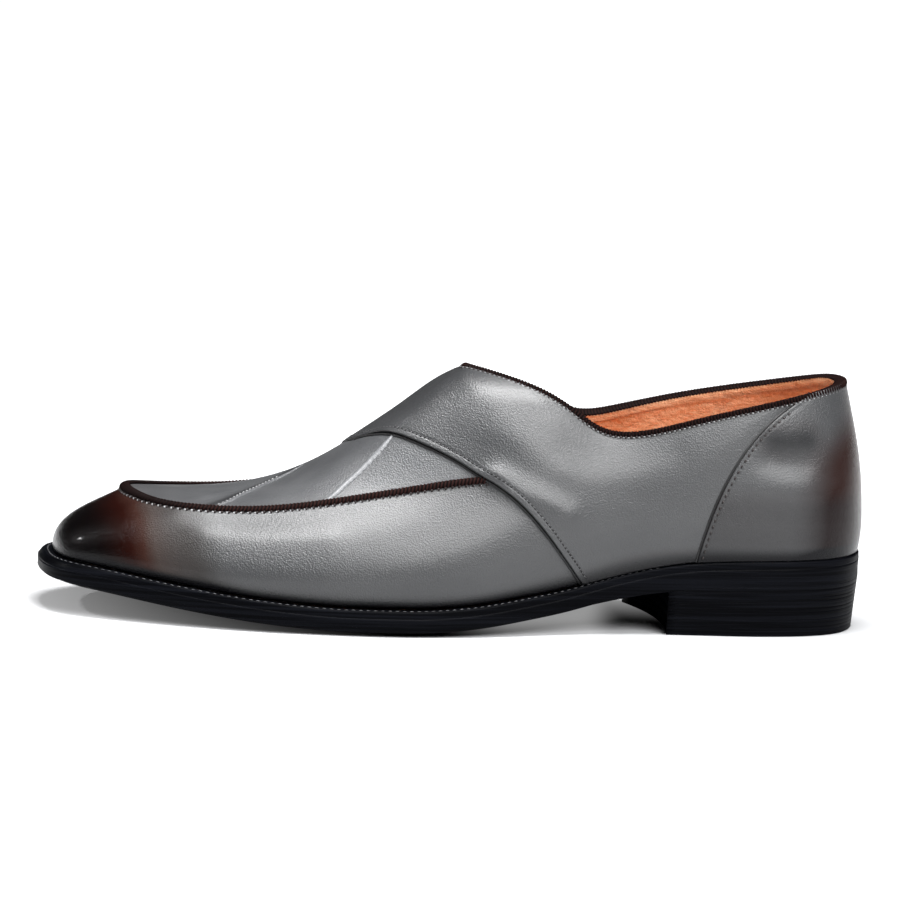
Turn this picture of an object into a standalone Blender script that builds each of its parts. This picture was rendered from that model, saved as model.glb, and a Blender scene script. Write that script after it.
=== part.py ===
# Slip-on dress loafer, left shoe, as an assembly of sole, heel, upper and trim.
# The toe points to -X, the lateral side faces -Y, and the sole stands on Z = 0.
# Table sizes are millimetres: p runs from the heel end to the toe, y across, z up.
from collections import namedtuple
from math import radians

import bmesh
import bpy
import numpy as np
from mathutils import Vector
from mathutils.bvhtree import BVHTree

MM = 0.001
ORIGIN_P = 149.96         # the row's origin, under the middle of the whole shoe
ORIGIN_Y = -0.21
SOLE_DEPTH = 9.2          # outsole bottom to welt top
WELT_DEPTH = 2.6
WELT_REACH = 11.0         # welt strip, from its edge inwards
WELT_LEAN = (0.3, 2.0)    # its top edge lies this far inside its bottom edge, along the side and at the toe
EDGE_LIFT = 1.5           # how far the sole's edge rises from the tread
EDGE_WIDTH = 9.0          # width of that rise
TOE_THIN = 1.6            # the edge is thinner by this at the toe
TOE_RUN = 4               # over this many sections
SEAT_FIT = 1.1            # and thicker by this over the heel
SEAT_END = 5              # back from this section
GAP = 0.3                 # between pieces that meet
FEATHER_GAP = 0.6         # upper above the welt
WALL = 2.2                # leather and lining together
INSOLE_DEPTH = 3.0
INSOLE_BEVEL = (0.4, 0.8) # across and down, round its top edge
INSOLE_MARGIN = 1.8       # clear of the wall, which leans in over it at the toe
HEEL_TAPER = 1.4          # the heel's foot lies this far inside its top
HEEL_LINES = 6            # fine grooves round the heel
HEEL_LINE_DEPTH = 0.35
HEEL_LINE_MIDDLE = 0.3    # deepest point and end of a groove, as shares of the pitch
HEEL_LINE_END = 0.6
HEEL_STATIONS = 9         # rings from the heel's back to its front
HEEL_CROWD = 1.5          # closer together at the back
BREAST_LATERAL = 4.06     # section where the heel's front meets each side
BREAST_MEDIAL = 4.22
BREAST_HOLLOW = 4.5       # depth of the hollow front
BREAST_COLUMNS = 5
PANEL_LIFT = 1.8          # outer face of the crossover panel above the upper
PANEL_DEPTH = 0.85
COUNTER_LIFT = 2.1
COUNTER_DEPTH = 1.0
RIM_COVER = 2.1           # strip of the upper that the collar binding takes
RIM_SHARE = 0.97          # height on the wall that sets the binding's slope
BINDING_GAP = 0.4         # clear of both faces of the wall
BINDING_DEPTH = 1.6       # how far it folds down each face
BINDING_RISE = 1.2        # above the wall's top
BINDING_FOLD = 1.1        # thickness of each fold at its edge
BINDING_TOP_FOLD = 0.8    # and at its top
PIPING_WIDTH = 3.0
PIPING_HEIGHT = 1.2
PIPING_ENDS = (0.5, 0.12) # ahead of the panel's lateral and medial edge, in sections
PLEAT_WIDTH = 2.4
PLEAT_HEIGHT = 1.3
BEAD = [(-0.5, 0), (-0.5, 0.35), (-0.25, 0.9), (0.25, 0.9), (0.5, 0.35), (0.5, 0)]
RIDGE_V = 0.55            # share of the wall below the ridge
STEPS = 3                 # stations from one section to the next
FULL = 0.36               # length of the wall's curve handles
FULL_TOP = 0.42           # and above the ridge
STEP_S = 0.02             # small steps that give the wall's slope
STEP_V = 0.01
INSIDE = (0, 0, 0.03)     # a point inside the shoe, metres
WELD = 0.05               # points nearer than this are one
SHARP_DEG = 40            # edges sharper than this stay crisp

# One row for each section of the last, heel end to toe: the sole's edge on both sides and
# the welt's width, the ridge of the wall (the apron seam in front), the top (the collar, then
# the centre line), and the slopes of the wall at the foot, below and above the ridge, at the top.
Section = namedtuple(
    "Section",
    "sole_p sole_lat sole_med welt ridge_p ridge_lat ridge_med ridge_z"
    " top_p top_lat top_med top_z med_rise foot_deg in_deg out_deg top_deg yaw_deg",
)
SECTIONS = [
    Section(0, 0, 0, 2.8, 2.1, 0, 0, 42, 11, 0, 0, 90.3, 0, 8, 3, 3, 14, -90),
    Section(4.5, -16, 16, 2.8, 6.2, -15.2, 15.2, 42, 13.8, -10.2, 10.2, 89.8, 0.1, 9, 3, 3, 15, -58),
    Section(17, -28, 28, 2.8, 17.8, -27.2, 27.2, 42, 22, -18.2, 18.4, 88.1, -0.5, 10, 3, 3, 18, -35),
    Section(42, -34, 33.5, 2.9, 42, -32.6, 32.2, 43, 40, -24.6, 25.2, 84.0, -0.4, 10, 4, 4, 20, -12),
    Section(74, -34.5, 33, 3.0, 73, -33.2, 32.2, 45, 64, -26.4, 26.8, 78.2, 0.8, 10, 6, 6, 20, -3),
    Section(104, -37, 31, 3.2, 98, -35.2, 32.2, 48, 86, -26, 26.6, 72.2, 1.6, 12, 12, 12, 26, 3),
    Section(130, -43.5, 33, 3.6, 120, -36.2, 32.8, 52, 104, -24.4, 24.9, 73.0, -1.1, 16, 18, 18, 36, 15),
    Section(152, -49, 38.5, 3.8, 138, -34.8, 32.3, 54.5, 124, -18.8, 18.8, 84.5, -3.8, 20, 22, 22, 54, 32),
    Section(172, -51.5, 44.5, 4.0, 154, -32.5, 31.5, 53, 148, 0, 0, 89.5, 0, 24, 31, 26, 78, 30),
    Section(190, -51.5, 48.5, 4.0, 172, -31.5, 31.5, 49.5, 165, 0.5, 0.5, 79.1, 0, 26, 40, 35, 84, 12),
    Section(208, -50, 51, 4.0, 192, -30.5, 31.5, 45.6, 185, 1, 1, 64.3, 0, 26, 45, 50, 90, 2),
    Section(226, -47.5, 51, 4.0, 213, -29, 31, 41.9, 205, 2, 2, 51.0, 0, 26, 48, 64, 90, 0),
    Section(246, -42.5, 48.5, 4.2, 233, -26, 29.5, 40, 223, 3, 3, 44.4, 0, 25, 50, 76, 90, 4),
    Section(266, -36, 43, 4.4, 251, -22, 26, 40.1, 237, 4, 4, 42.6, 0, 20, 52, 82, 90, 12),
    Section(284, -28, 32.5, 4.7, 262, -15.5, 20, 40.9, 246, 5, 5, 42.4, 0, 13, 54, 84, 90, 35),
    Section(296.5, -17, 18, 5.1, 268, -4.5, 13, 41.8, 251, 5, 5, 42.6, 0, 8, 56, 85, 90, 62),
    Section(300, 2, 2, 5.2, 269.5, 5, 5, 42, 254, 5, 5, 42.6, 0, 6, 58, 86, 90, 90),
]
TOE = len(SECTIONS) - 1
THROAT = 8                # section where the collar meets the centre line
THROAT_FRONT = 8.16       # where the panel closes ahead of the binding
THROAT_SLANT = 1.0        # extra cover where the wall meets the collar aslant
THROAT_RUN = 0.8          # sections over which that cover grows
ROUND = 2 * TOE           # sections round the whole shoe
WRAP = 6                  # rows repeated at the ends of a closed curve

# Line of the tread along the sole: seat, waist, flat tread, toe spring.
TreadRow = namedtuple("TreadRow", "p z")
TREAD = [
    TreadRow(0, 19.2), TreadRow(40, 18.3), TreadRow(72, 16.4), TreadRow(99, 10.7),
    TreadRow(114, 6.8), TreadRow(128, 4.2), TreadRow(142, 2.0), TreadRow(156, 0.6),
    TreadRow(168, 0), TreadRow(196, 0), TreadRow(214, 0.9), TreadRow(241, 3.4),
    TreadRow(262, 6.1), TreadRow(285, 9.0), TreadRow(300, 10.1),
]

# Front edge of the crossover panel and front edge of the counter: section number at shares
# of the wall's height, on the lateral and the medial side.
EdgeRow = namedtuple("EdgeRow", "share lateral medial")
PANEL_EDGE = [
    EdgeRow(0.0, 5.1, 9.45), EdgeRow(0.25, 5.65, 9.6), EdgeRow(0.4, 6.2, 9.75),
    EdgeRow(0.5, 6.8, 9.85), EdgeRow(0.6, 7.7, 9.95), EdgeRow(0.65, 8.3, 10.0),
    EdgeRow(0.75, 9.1, 10.15), EdgeRow(0.85, 9.75, 10.25), EdgeRow(0.93, 10.05, 10.3),
    EdgeRow(1.0, 10.3, 10.3),
]
COUNTER_EDGE = [
    EdgeRow(0.0, 3.78, 3.78), EdgeRow(0.3, 3.7, 3.7), EdgeRow(0.6, 3.58, 3.58),
    EdgeRow(0.8, 3.45, 3.45), EdgeRow(0.9, 3.28, 3.28), EdgeRow(0.96, 3.02, 3.02),
    EdgeRow(1.0, 2.62, 2.62),
]
OVERLAY_SHARES = [0.015, 0.14, 0.28, 0.42, 0.5, 0.57, 0.63, 0.685, 0.74, 0.8, 0.86, 0.93, 1]
PANEL_COLUMNS = (15, 7)   # behind and ahead of the throat
COUNTER_COLUMNS = 8       # on each side of the back
SEAM_GAP = 0.02           # panel behind the counter's edge, in sections

# Slanting tucks on the apron, seen from above.
TuckPoint = namedtuple("TuckPoint", "p y")
TUCKS = {
    "pleat_front": [TuckPoint(237.2, -21.5), TuckPoint(231, -16), TuckPoint(219, -3.5),
                    TuckPoint(207, 6.5)],
    "pleat_rear": [TuckPoint(198.5, -27.6), TuckPoint(189, -22.7), TuckPoint(181, -19)],
}
TUCK_STEPS = 12
DROP_FROM = 200           # height from which a tuck's line is dropped onto the upper

Finish = namedtuple("Finish", "colour roughness metallic")
FINISHES = {
    "grey leather": Finish((0.19, 0.185, 0.18), 0.42, 0.0),
    "brown leather": Finish((0.12, 0.07, 0.05), 0.40, 0.0),
    "dark trim": Finish((0.035, 0.015, 0.013), 0.50, 0.0),
    "black rubber": Finish((0.010, 0.011, 0.014), 0.45, 0.0),
    "tan leather": Finish((0.45, 0.16, 0.06), 0.55, 0.0),
}


def smooth_curve(knots, values):
    """Cubic curve through a row of values at increasing knots, straight at its ends."""
    knots = np.asarray(knots, float)
    values = np.asarray(values, float).reshape(len(knots), -1)
    step = np.diff(knots)
    slope = np.diff(values, axis=0) / step[:, None]
    system = np.eye(len(knots))
    load = np.zeros_like(values)
    for i in range(1, len(knots) - 1):
        system[i, i - 1:i + 2] = step[i - 1], 2 * (step[i - 1] + step[i]), step[i]
        load[i] = 6 * (slope[i] - slope[i - 1])
    bend = np.linalg.solve(system, load)

    def at(where):
        where = np.atleast_1d(np.asarray(where, float))
        i = np.clip(np.searchsorted(knots, where, side="right") - 1, 0, len(step) - 1)
        h = step[i][:, None]
        b = ((where - knots[i]) / step[i])[:, None]
        a = 1 - b
        line = a * values[i] + b * values[i + 1]
        return line + ((a ** 3 - a) * bend[i] + (b ** 3 - b) * bend[i + 1]) * h * h / 6

    return at


def closed_curve(values):
    """Cubic curve through values that run round a loop, one to each whole number."""
    count = len(values)
    rows = range(-WRAP, count + WRAP + 1)
    return smooth_curve(rows, [values[i % count] for i in rows])


def round_shoe(lateral, medial):
    """Values along the lateral side from heel to toe, then back along the medial side."""
    return closed_curve(lateral + medial[-2:0:-1])


def plan(p, y):
    return ORIGIN_P - p, y - ORIGIN_Y


def wall_slopes(row, side):
    yaw = radians(row.yaw_deg)
    heading = np.sin(yaw), side * np.cos(yaw)
    return [row.foot_deg, row.in_deg, row.out_deg, row.top_deg, *heading]


sole_edge = round_shoe([plan(r.sole_p, r.sole_lat) for r in SECTIONS],
                       [plan(r.sole_p, r.sole_med) for r in SECTIONS])
welt_width = round_shoe([(r.welt,) for r in SECTIONS], [(r.welt,) for r in SECTIONS])
ridge_rail = round_shoe([(*plan(r.ridge_p, r.ridge_lat), r.ridge_z) for r in SECTIONS],
                        [(*plan(r.ridge_p, r.ridge_med), r.ridge_z) for r in SECTIONS])
slope_rail = round_shoe([wall_slopes(r, 1) for r in SECTIONS],
                        [wall_slopes(r, -1) for r in SECTIONS])
collar_rail = closed_curve(
    [(*plan(r.top_p, r.top_lat), r.top_z) for r in SECTIONS[:THROAT + 1]]
    + [(*plan(r.top_p, r.top_med), r.top_z + r.med_rise) for r in SECTIONS[THROAT - 1:0:-1]])
centre_rail = smooth_curve(
    range(THROAT, TOE + 1), [(*plan(r.top_p, r.top_lat), r.top_z) for r in SECTIONS[THROAT:]])
tread_line = smooth_curve([r.p for r in TREAD], [r.z for r in TREAD])
panel_edge = smooth_curve([r.share for r in PANEL_EDGE], [r[1:] for r in PANEL_EDGE])
counter_edge = smooth_curve([r.share for r in COUNTER_EDGE], [r[1:] for r in COUNTER_EDGE])


def tread_z(x):
    return np.maximum(tread_line(ORIGIN_P - np.asarray(x))[:, 0], 0)


def outward(rail, s):
    """Level direction away from the shoe along a rail that runs round it."""
    run = (rail(s + STEP_S) - rail(s - STEP_S))[:, :2]
    run /= np.linalg.norm(run, axis=1)[:, None]
    return np.column_stack([-run[:, 1], run[:, 0], np.zeros(len(run))])


def inset_edge(s, inset):
    """Point on the sole's plan, a given distance inside its edge."""
    s = np.atleast_1d(s)
    return sole_edge(s) - outward(sole_edge, s)[:, :2] * np.reshape(inset, (-1, 1))


def foot_rail(s):
    xy = inset_edge(s, welt_width(s))
    return np.column_stack([xy, tread_z(xy[:, 0]) + SOLE_DEPTH + FEATHER_GAP])


def top_rail(s):
    s = np.mod(s, ROUND)
    t = np.minimum(s, ROUND - s)
    on_collar = collar_rail(np.where(s < TOE, s, s - ROUND + 2 * THROAT))
    return np.where((t < THROAT)[:, None], on_collar, centre_rail(np.maximum(t, THROAT)))


def lean(degrees, heading):
    """Unit direction that leans from the vertical towards a level heading."""
    angle = np.radians(degrees)[:, None]
    return np.cos(angle) * np.array([0, 0, 1]) + np.sin(angle) * heading


def bezier(a, b, c, d, u):
    u = u[:, None]
    return (1 - u) ** 3 * a + 3 * u * (1 - u) ** 2 * b + 3 * u * u * (1 - u) * c + u ** 3 * d


def wall(s, v):
    """Outer face of the upper: s counts sections round the shoe, v runs from foot to top."""
    s, v = np.broadcast_arrays(np.atleast_1d(np.asarray(s, float)), v)
    s = np.mod(s, ROUND)
    foot, ridge, top = foot_rail(s), ridge_rail(s), top_rail(s)
    slopes = slope_rail(s)
    level = np.column_stack([slopes[:, 4:6], np.zeros(len(s))])
    level /= np.linalg.norm(level, axis=1)[:, None]
    away = outward(ridge_rail, s)
    low = FULL * np.linalg.norm(ridge - foot, axis=1)[:, None]
    high = FULL_TOP * np.linalg.norm(top - ridge, axis=1)[:, None]
    below = bezier(foot, foot + low * lean(slopes[:, 0], outward(sole_edge, s)),
                   ridge - low * lean(slopes[:, 1], -away), ridge, np.clip(v / RIDGE_V, 0, 1))
    above = bezier(ridge, ridge + high * lean(slopes[:, 2], -away),
                   top - high * lean(slopes[:, 3], level), top,
                   np.clip((v - RIDGE_V) / (1 - RIDGE_V), 0, 1))
    return np.where((v <= RIDGE_V)[:, None], below, above)


def wall_normal(s, v):
    s, v = np.broadcast_arrays(np.atleast_1d(np.asarray(s, float)), v)
    along = wall(s + STEP_S, v) - wall(s - STEP_S, v)
    up = wall(s, np.minimum(v + STEP_V, 1)) - wall(s, np.maximum(v - STEP_V, 0))
    normal = np.cross(up, along)
    return normal / np.linalg.norm(normal, axis=1)[:, None]


def skin(s, v, lift):
    """The upper's outer face raised along its normal, which both sides share on the centre line."""
    s, v = np.broadcast_arrays(np.atleast_1d(np.asarray(s, float)), v)
    normal = wall_normal(s, v)
    middle = (v >= 1) & (np.abs(np.mod(s, ROUND) - TOE) <= TOE - THROAT)
    if middle.any():
        normal[middle] += wall_normal(-s[middle], v[middle])
        normal /= np.linalg.norm(normal, axis=1)[:, None]
    return wall(s, v) + lift * normal


def rim_share(s):
    """Share of the wall that the collar binding leaves free; all of it ahead of the throat."""
    s = np.mod(np.atleast_1d(np.asarray(s, float)), ROUND)
    t = np.minimum(s, ROUND - s)
    height = np.linalg.norm(top_rail(s) - ridge_rail(s), axis=1)
    slant = 1 + THROAT_SLANT * np.clip(t - THROAT + THROAT_RUN, 0, THROAT_RUN)
    covered = np.where(t < THROAT_FRONT - STEP_V, RIM_COVER * slant, 0)
    return 1 - (1 - RIDGE_V) * covered / height


def finish(piece_name, look):
    material = bpy.data.materials.new(piece_name + " " + look)
    material.use_nodes = True
    shader = material.node_tree.nodes["Principled BSDF"]
    shader.inputs["Base Color"].default_value = (*FINISHES[look].colour, 1)
    shader.inputs["Roughness"].default_value = FINISHES[look].roughness
    shader.inputs["Metallic"].default_value = FINISHES[look].metallic
    return material


def make_object(name, bm, look, parent):
    """Finish a bmesh as a named object: weld, face outwards, shade smooth."""
    bmesh.ops.remove_doubles(bm, verts=bm.verts, dist=WELD * MM)
    bmesh.ops.recalc_face_normals(bm, faces=bm.faces)
    mesh = bpy.data.meshes.new(name)
    bm.to_mesh(mesh)
    bm.free()
    mesh.shade_smooth()
    mesh.set_sharp_from_angle(angle=radians(SHARP_DEG))
    mesh.materials.append(finish(name, look))
    piece = bpy.data.objects.new(name, mesh)
    bpy.context.collection.objects.link(piece)
    piece.parent = parent
    return piece


def add_grid(bm, rows, closed=False):
    """Faces between rows of points; a closed grid joins the last row to the first."""
    grid = [[bm.verts.new(Vector(point) * MM) for point in row] for row in rows]
    pairs = list(zip(grid, grid[1:]))
    if closed:
        pairs.append((grid[-1], grid[0]))
    for near, far in pairs:
        for i in range(len(near) - 1):
            bm.faces.new((near[i], far[i], far[i + 1], near[i + 1]))
    return grid


def add_tube(bm, rings, closed=False):
    """Skin a run of closed rings, and cap the two ends unless the run is closed."""
    grid = add_grid(bm, [[*ring, ring[0]] for ring in rings], closed)
    if not closed:
        bm.faces.new(grid[0][:-1])
        bm.faces.new(grid[-1][:-1])


def thicken(piece, depth):
    """Give an outer face its real depth, inwards."""
    wall_depth = piece.modifiers.new("depth", "SOLIDIFY")
    wall_depth.thickness = depth * MM
    wall_depth.offset = -1
    wall_depth.use_even_offset = True


def stations(first, last, steps=STEPS):
    return np.linspace(first, last, int(round((last - first) * steps)) + 1)


def side_stations():
    """Stations from heel to toe, closer together round both ends and the throat."""
    turns = [(0, 3, 3), (3, 6, 2), (6, 9, 4), (9, 12, 2), (12, TOE, 3)]
    return np.unique(np.concatenate([stations(*turn) for turn in turns]))


def loop_stations():
    side = side_stations()
    return np.concatenate([side, (ROUND - side)[-2:0:-1]])


def plate_rings(profile):
    """Sections across the sole: each profile point is an inset and a height above the tread."""
    rings = []
    for t in side_stations():
        ring = []
        for s, points in ((t, profile(t)), (ROUND - t, profile(t)[::-1])):
            for inset, rise in points:
                x, y = inset_edge(s, inset)[0]
                ring.append((x, y, tread_z([x])[0] + rise))
        rings.append(ring)
    return rings


def make_outsole(parent):
    ledge = SOLE_DEPTH - WELT_DEPTH - GAP
    inner = WELT_REACH + GAP

    def profile(t):
        toe = np.clip((t - TOE) / TOE_RUN + 1, 0, 1)
        seat = np.clip(SEAT_END - t, 0, 1)
        edge = EDGE_LIFT + TOE_THIN * toe ** 2 - SEAT_FIT * seat
        return [(inner, SOLE_DEPTH), (inner, ledge), (0, ledge), (0, edge), (EDGE_WIDTH, 0)]

    bm = bmesh.new()
    add_tube(bm, plate_rings(profile))
    return make_object("outsole", bm, "black rubber", parent)


def make_welt(parent):
    s = loop_stations()
    bottom = SOLE_DEPTH - WELT_DEPTH
    side_lean, toe_lean = WELT_LEAN
    toe_share = np.clip(1 - np.abs(s - TOE) / TOE_RUN, 0, 1)
    lean_in = side_lean + (toe_lean - side_lean) * toe_share
    corners = [(lean_in, SOLE_DEPTH), (0, bottom), (WELT_REACH, bottom), (WELT_REACH, SOLE_DEPTH)]
    columns = []
    for inset, rise in corners:
        xy = inset_edge(s, inset)
        columns.append(np.column_stack([xy, tread_z(xy[:, 0]) + rise]))
    bm = bmesh.new()
    add_tube(bm, np.stack(columns, axis=1), closed=True)
    return make_object("welt", bm, "black rubber", parent)


def make_insole(parent):
    bottom = SOLE_DEPTH + FEATHER_GAP
    top = bottom + INSOLE_DEPTH
    across, down = INSOLE_BEVEL

    def profile(t):
        inset = welt_width(t)[0, 0] + WALL + INSOLE_MARGIN
        return [(inset + across, top), (inset, top - down), (inset, bottom)]

    bm = bmesh.new()
    add_tube(bm, plate_rings(profile))
    return make_object("insole", bm, "tan leather", parent)


def heel_levels():
    """Heights down the block as shares, each with the depth of the groove there."""
    pitch = 1 / (HEEL_LINES + 1)
    levels = [(0, 0)]
    for line in range(1, HEEL_LINES + 1):
        levels.append((line * pitch, 0))
        levels.append(((line + HEEL_LINE_MIDDLE) * pitch, HEEL_LINE_DEPTH))
        levels.append(((line + HEEL_LINE_END) * pitch, 0))
    return levels + [(1, 0)]


def heel_row(along, share, groove):
    """Points across the block from lateral to medial, part of the way from its back to its front."""
    inset = HEEL_TAPER * share + groove
    lateral = inset_edge(along * BREAST_LATERAL, inset)[0]
    medial = inset_edge(ROUND - along * BREAST_MEDIAL, inset)[0]
    row = []
    for u in np.linspace(0, 1, BREAST_COLUMNS + 1):
        x, y = lateral + (medial - lateral) * u
        x += BREAST_HOLLOW * 4 * u * (1 - u) * along ** 3
        row.append((x, y, (tread_z([x])[0] - GAP) * (1 - share)))
    return row


def make_heel(parent):
    """Stacked block under the seat, hollow in front; its lines share out the height."""
    levels = heel_levels()
    rings = []
    for along in np.linspace(0, 1, HEEL_STATIONS + 1) ** HEEL_CROWD:
        rows = [heel_row(along, *level) for level in levels]
        down = [row[0] for row in rows]
        up = [row[-1] for row in rows[::-1]]
        rings.append([*down, *rows[-1][1:-1], *up, *rows[0][-2:0:-1], down[0]])
    bm = bmesh.new()
    add_grid(bm, rings)
    add_grid(bm, [heel_row(1, *level) for level in levels])
    return make_object("heel", bm, "black rubber", parent)


def upper_shares():
    """Heights at which the wall is drawn, close together at the ridge."""
    below = RIDGE_V * np.array([0, 0.25, 0.5, 0.76, 1])
    above = RIDGE_V + (1 - RIDGE_V) * np.array([0.14, 0.3, 0.48, 0.66, 0.84, 1])
    return np.concatenate([below, above])


def make_upper(parent):
    shares = upper_shares()
    rows = [wall(s, shares) for s in loop_stations()]
    bm = bmesh.new()
    add_grid(bm, rows, closed=True)
    upper = make_object("upper", bm, "grey leather", parent)
    face_away(upper)
    thicken(upper, WALL)
    return upper


def face_away(piece):
    """Turn an open outer face so that it points away from the inside of the shoe."""
    bm = bmesh.new()
    bm.from_mesh(piece.data)
    inside = Vector(INSIDE)
    score = sum(f.normal.dot(f.calc_center_median() - inside) * f.calc_area() for f in bm.faces)
    if score < 0:
        bmesh.ops.reverse_faces(bm, faces=bm.faces)
    bm.to_mesh(piece.data)
    bm.free()


def panel_side(side, lift):
    """One side of the crossover panel: rows of points from its bottom edge to its top."""
    rows = []
    for share in OVERLAY_SHARES:
        rear = counter_edge(share)[0, side] + SEAM_GAP
        front = panel_edge(share)[0, side]
        last = counter_edge(1)[0, side] + SEAM_GAP
        turn = rear + (front - rear) * (THROAT_FRONT - last) / (panel_edge(1)[0, side] - last)
        t = np.concatenate([np.linspace(rear, turn, PANEL_COLUMNS[0] + 1)[:-1],
                            np.linspace(turn, front, PANEL_COLUMNS[1] + 1)])
        s = t if side == 0 else ROUND - t
        rows.append(skin(s, share * rim_share(s), lift))
    return rows


def make_crossover_panel(parent):
    bm = bmesh.new()
    for side in (0, 1):
        add_grid(bm, panel_side(side, PANEL_LIFT))
    panel = make_object("crossover_panel", bm, "grey leather", parent)
    face_away(panel)
    thicken(panel, PANEL_DEPTH)
    return panel


def make_heel_counter(parent):
    rows = []
    for share in OVERLAY_SHARES:
        lateral, medial = counter_edge(share)[0]
        s = np.concatenate([np.linspace(-medial, 0, COUNTER_COLUMNS + 1)[:-1],
                            np.linspace(0, lateral, COUNTER_COLUMNS + 1)])
        rows.append(skin(s, share * rim_share(s), COUNTER_LIFT))
    bm = bmesh.new()
    add_grid(bm, rows)
    counter = make_object("heel_counter", bm, "brown leather", parent)
    face_away(counter)
    thicken(counter, COUNTER_DEPTH)
    return counter


def bead_rings(path, normals, width, height):
    """Rings of a rounded bead that lies on a path, clear of the face below it."""
    path = np.asarray(path)
    normals = np.asarray(normals)
    run = np.gradient(path, axis=0)
    run /= np.linalg.norm(run, axis=1)[:, None]
    across = np.cross(normals, run)
    across /= np.linalg.norm(across, axis=1)[:, None]
    return [[p + a * width * u + n * (GAP + height * h) for u, h in BEAD]
            for p, n, a in zip(path, normals, across)]


def make_apron_piping(parent):
    lateral, medial = panel_edge(RIDGE_V)[0] + PIPING_ENDS
    s = stations(lateral, ROUND - medial)
    bm = bmesh.new()
    rings = bead_rings(wall(s, RIDGE_V), wall_normal(s, RIDGE_V), PIPING_WIDTH, PIPING_HEIGHT)
    add_tube(bm, rings)
    return make_object("apron_piping", bm, "dark trim", parent)


def make_collar_binding(parent):
    side = side_stations()
    side = side[side <= THROAT]
    s = np.concatenate([side, -side[-2:0:-1]])
    top = top_rail(s)
    run = np.roll(top, -1, axis=0) - np.roll(top, 1, axis=0)
    run /= np.linalg.norm(run, axis=1)[:, None]
    normal = wall_normal(s, RIM_SHARE)
    normal[len(side) - 1] += wall_normal(-THROAT, RIM_SHARE)[0]
    normal -= run * np.sum(normal * run, axis=1)[:, None]
    normal /= np.linalg.norm(normal, axis=1)[:, None]
    rise = np.cross(run, normal)
    outer, inner = BINDING_GAP, -WALL - BINDING_GAP
    profile = [(outer, -BINDING_DEPTH), (outer + BINDING_FOLD, -BINDING_DEPTH),
               (outer + BINDING_TOP_FOLD, BINDING_RISE), (inner - BINDING_TOP_FOLD, BINDING_RISE),
               (inner - BINDING_FOLD, -BINDING_DEPTH), (inner, -BINDING_DEPTH),
               (inner, GAP), (outer, GAP)]
    rings = [[p + n * a + u * b for a, b in profile] for p, n, u in zip(top, normal, rise)]
    bm = bmesh.new()
    add_tube(bm, rings, closed=True)
    return make_object("collar_binding", bm, "dark trim", parent)


def make_tuck(name, points, upper_tree, parent):
    """Raised tuck on the apron, dropped onto the upper along its plan line."""
    line = smooth_curve(range(len(points)), [plan(*point) for point in points])
    path, normals = [], []
    for x, y in line(np.linspace(0, len(points) - 1, TUCK_STEPS)):
        place, normal, _, _ = upper_tree.ray_cast(Vector((x, y, DROP_FROM)) * MM, Vector((0, 0, -1)))
        path.append(np.array(place) / MM)
        normals.append(np.array(normal))
    bm = bmesh.new()
    add_tube(bm, bead_rings(path, normals, PLEAT_WIDTH, PLEAT_HEIGHT))
    return make_object(name, bm, "grey leather", parent)


def build():
    for old in list(bpy.data.objects):
        bpy.data.objects.remove(old, do_unlink=True)
    shoe = bpy.data.objects.new("shoe", None)
    bpy.context.collection.objects.link(shoe)
    make_outsole(shoe)
    make_welt(shoe)
    make_heel(shoe)
    make_insole(shoe)
    upper = make_upper(shoe)
    make_crossover_panel(shoe)
    make_heel_counter(shoe)
    make_apron_piping(shoe)
    make_collar_binding(shoe)
    bm = bmesh.new()
    bm.from_mesh(upper.data)
    tree = BVHTree.FromBMesh(bm)
    bm.free()
    for name, points in TUCKS.items():
        make_tuck(name, points, tree, shoe)


build()
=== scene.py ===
# Slip-on dress loafer, left shoe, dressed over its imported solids.
# Toe to -X, lateral side to -Y, floor at Z = 0. Tables are in millimetres.
import math

import bmesh
import bpy
import numpy as np
from mathutils import Matrix, Vector
from mathutils.bvhtree import BVHTree


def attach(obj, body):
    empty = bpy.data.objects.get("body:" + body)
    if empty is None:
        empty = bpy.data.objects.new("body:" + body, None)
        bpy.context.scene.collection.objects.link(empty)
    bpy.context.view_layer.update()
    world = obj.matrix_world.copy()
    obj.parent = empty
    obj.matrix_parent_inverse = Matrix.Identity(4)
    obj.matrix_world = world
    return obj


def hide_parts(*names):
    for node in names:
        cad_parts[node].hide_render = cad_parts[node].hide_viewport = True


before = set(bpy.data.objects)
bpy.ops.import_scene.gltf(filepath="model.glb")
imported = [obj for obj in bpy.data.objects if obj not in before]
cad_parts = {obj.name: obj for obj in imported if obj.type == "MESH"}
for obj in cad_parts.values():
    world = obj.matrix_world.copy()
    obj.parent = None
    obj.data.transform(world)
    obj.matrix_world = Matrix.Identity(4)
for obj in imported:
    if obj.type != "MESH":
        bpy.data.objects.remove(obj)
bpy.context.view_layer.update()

mm = 0.001
print("frame loaded:", len(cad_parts), "nodes")


# the last: the same rows and rules as the part's source

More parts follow.
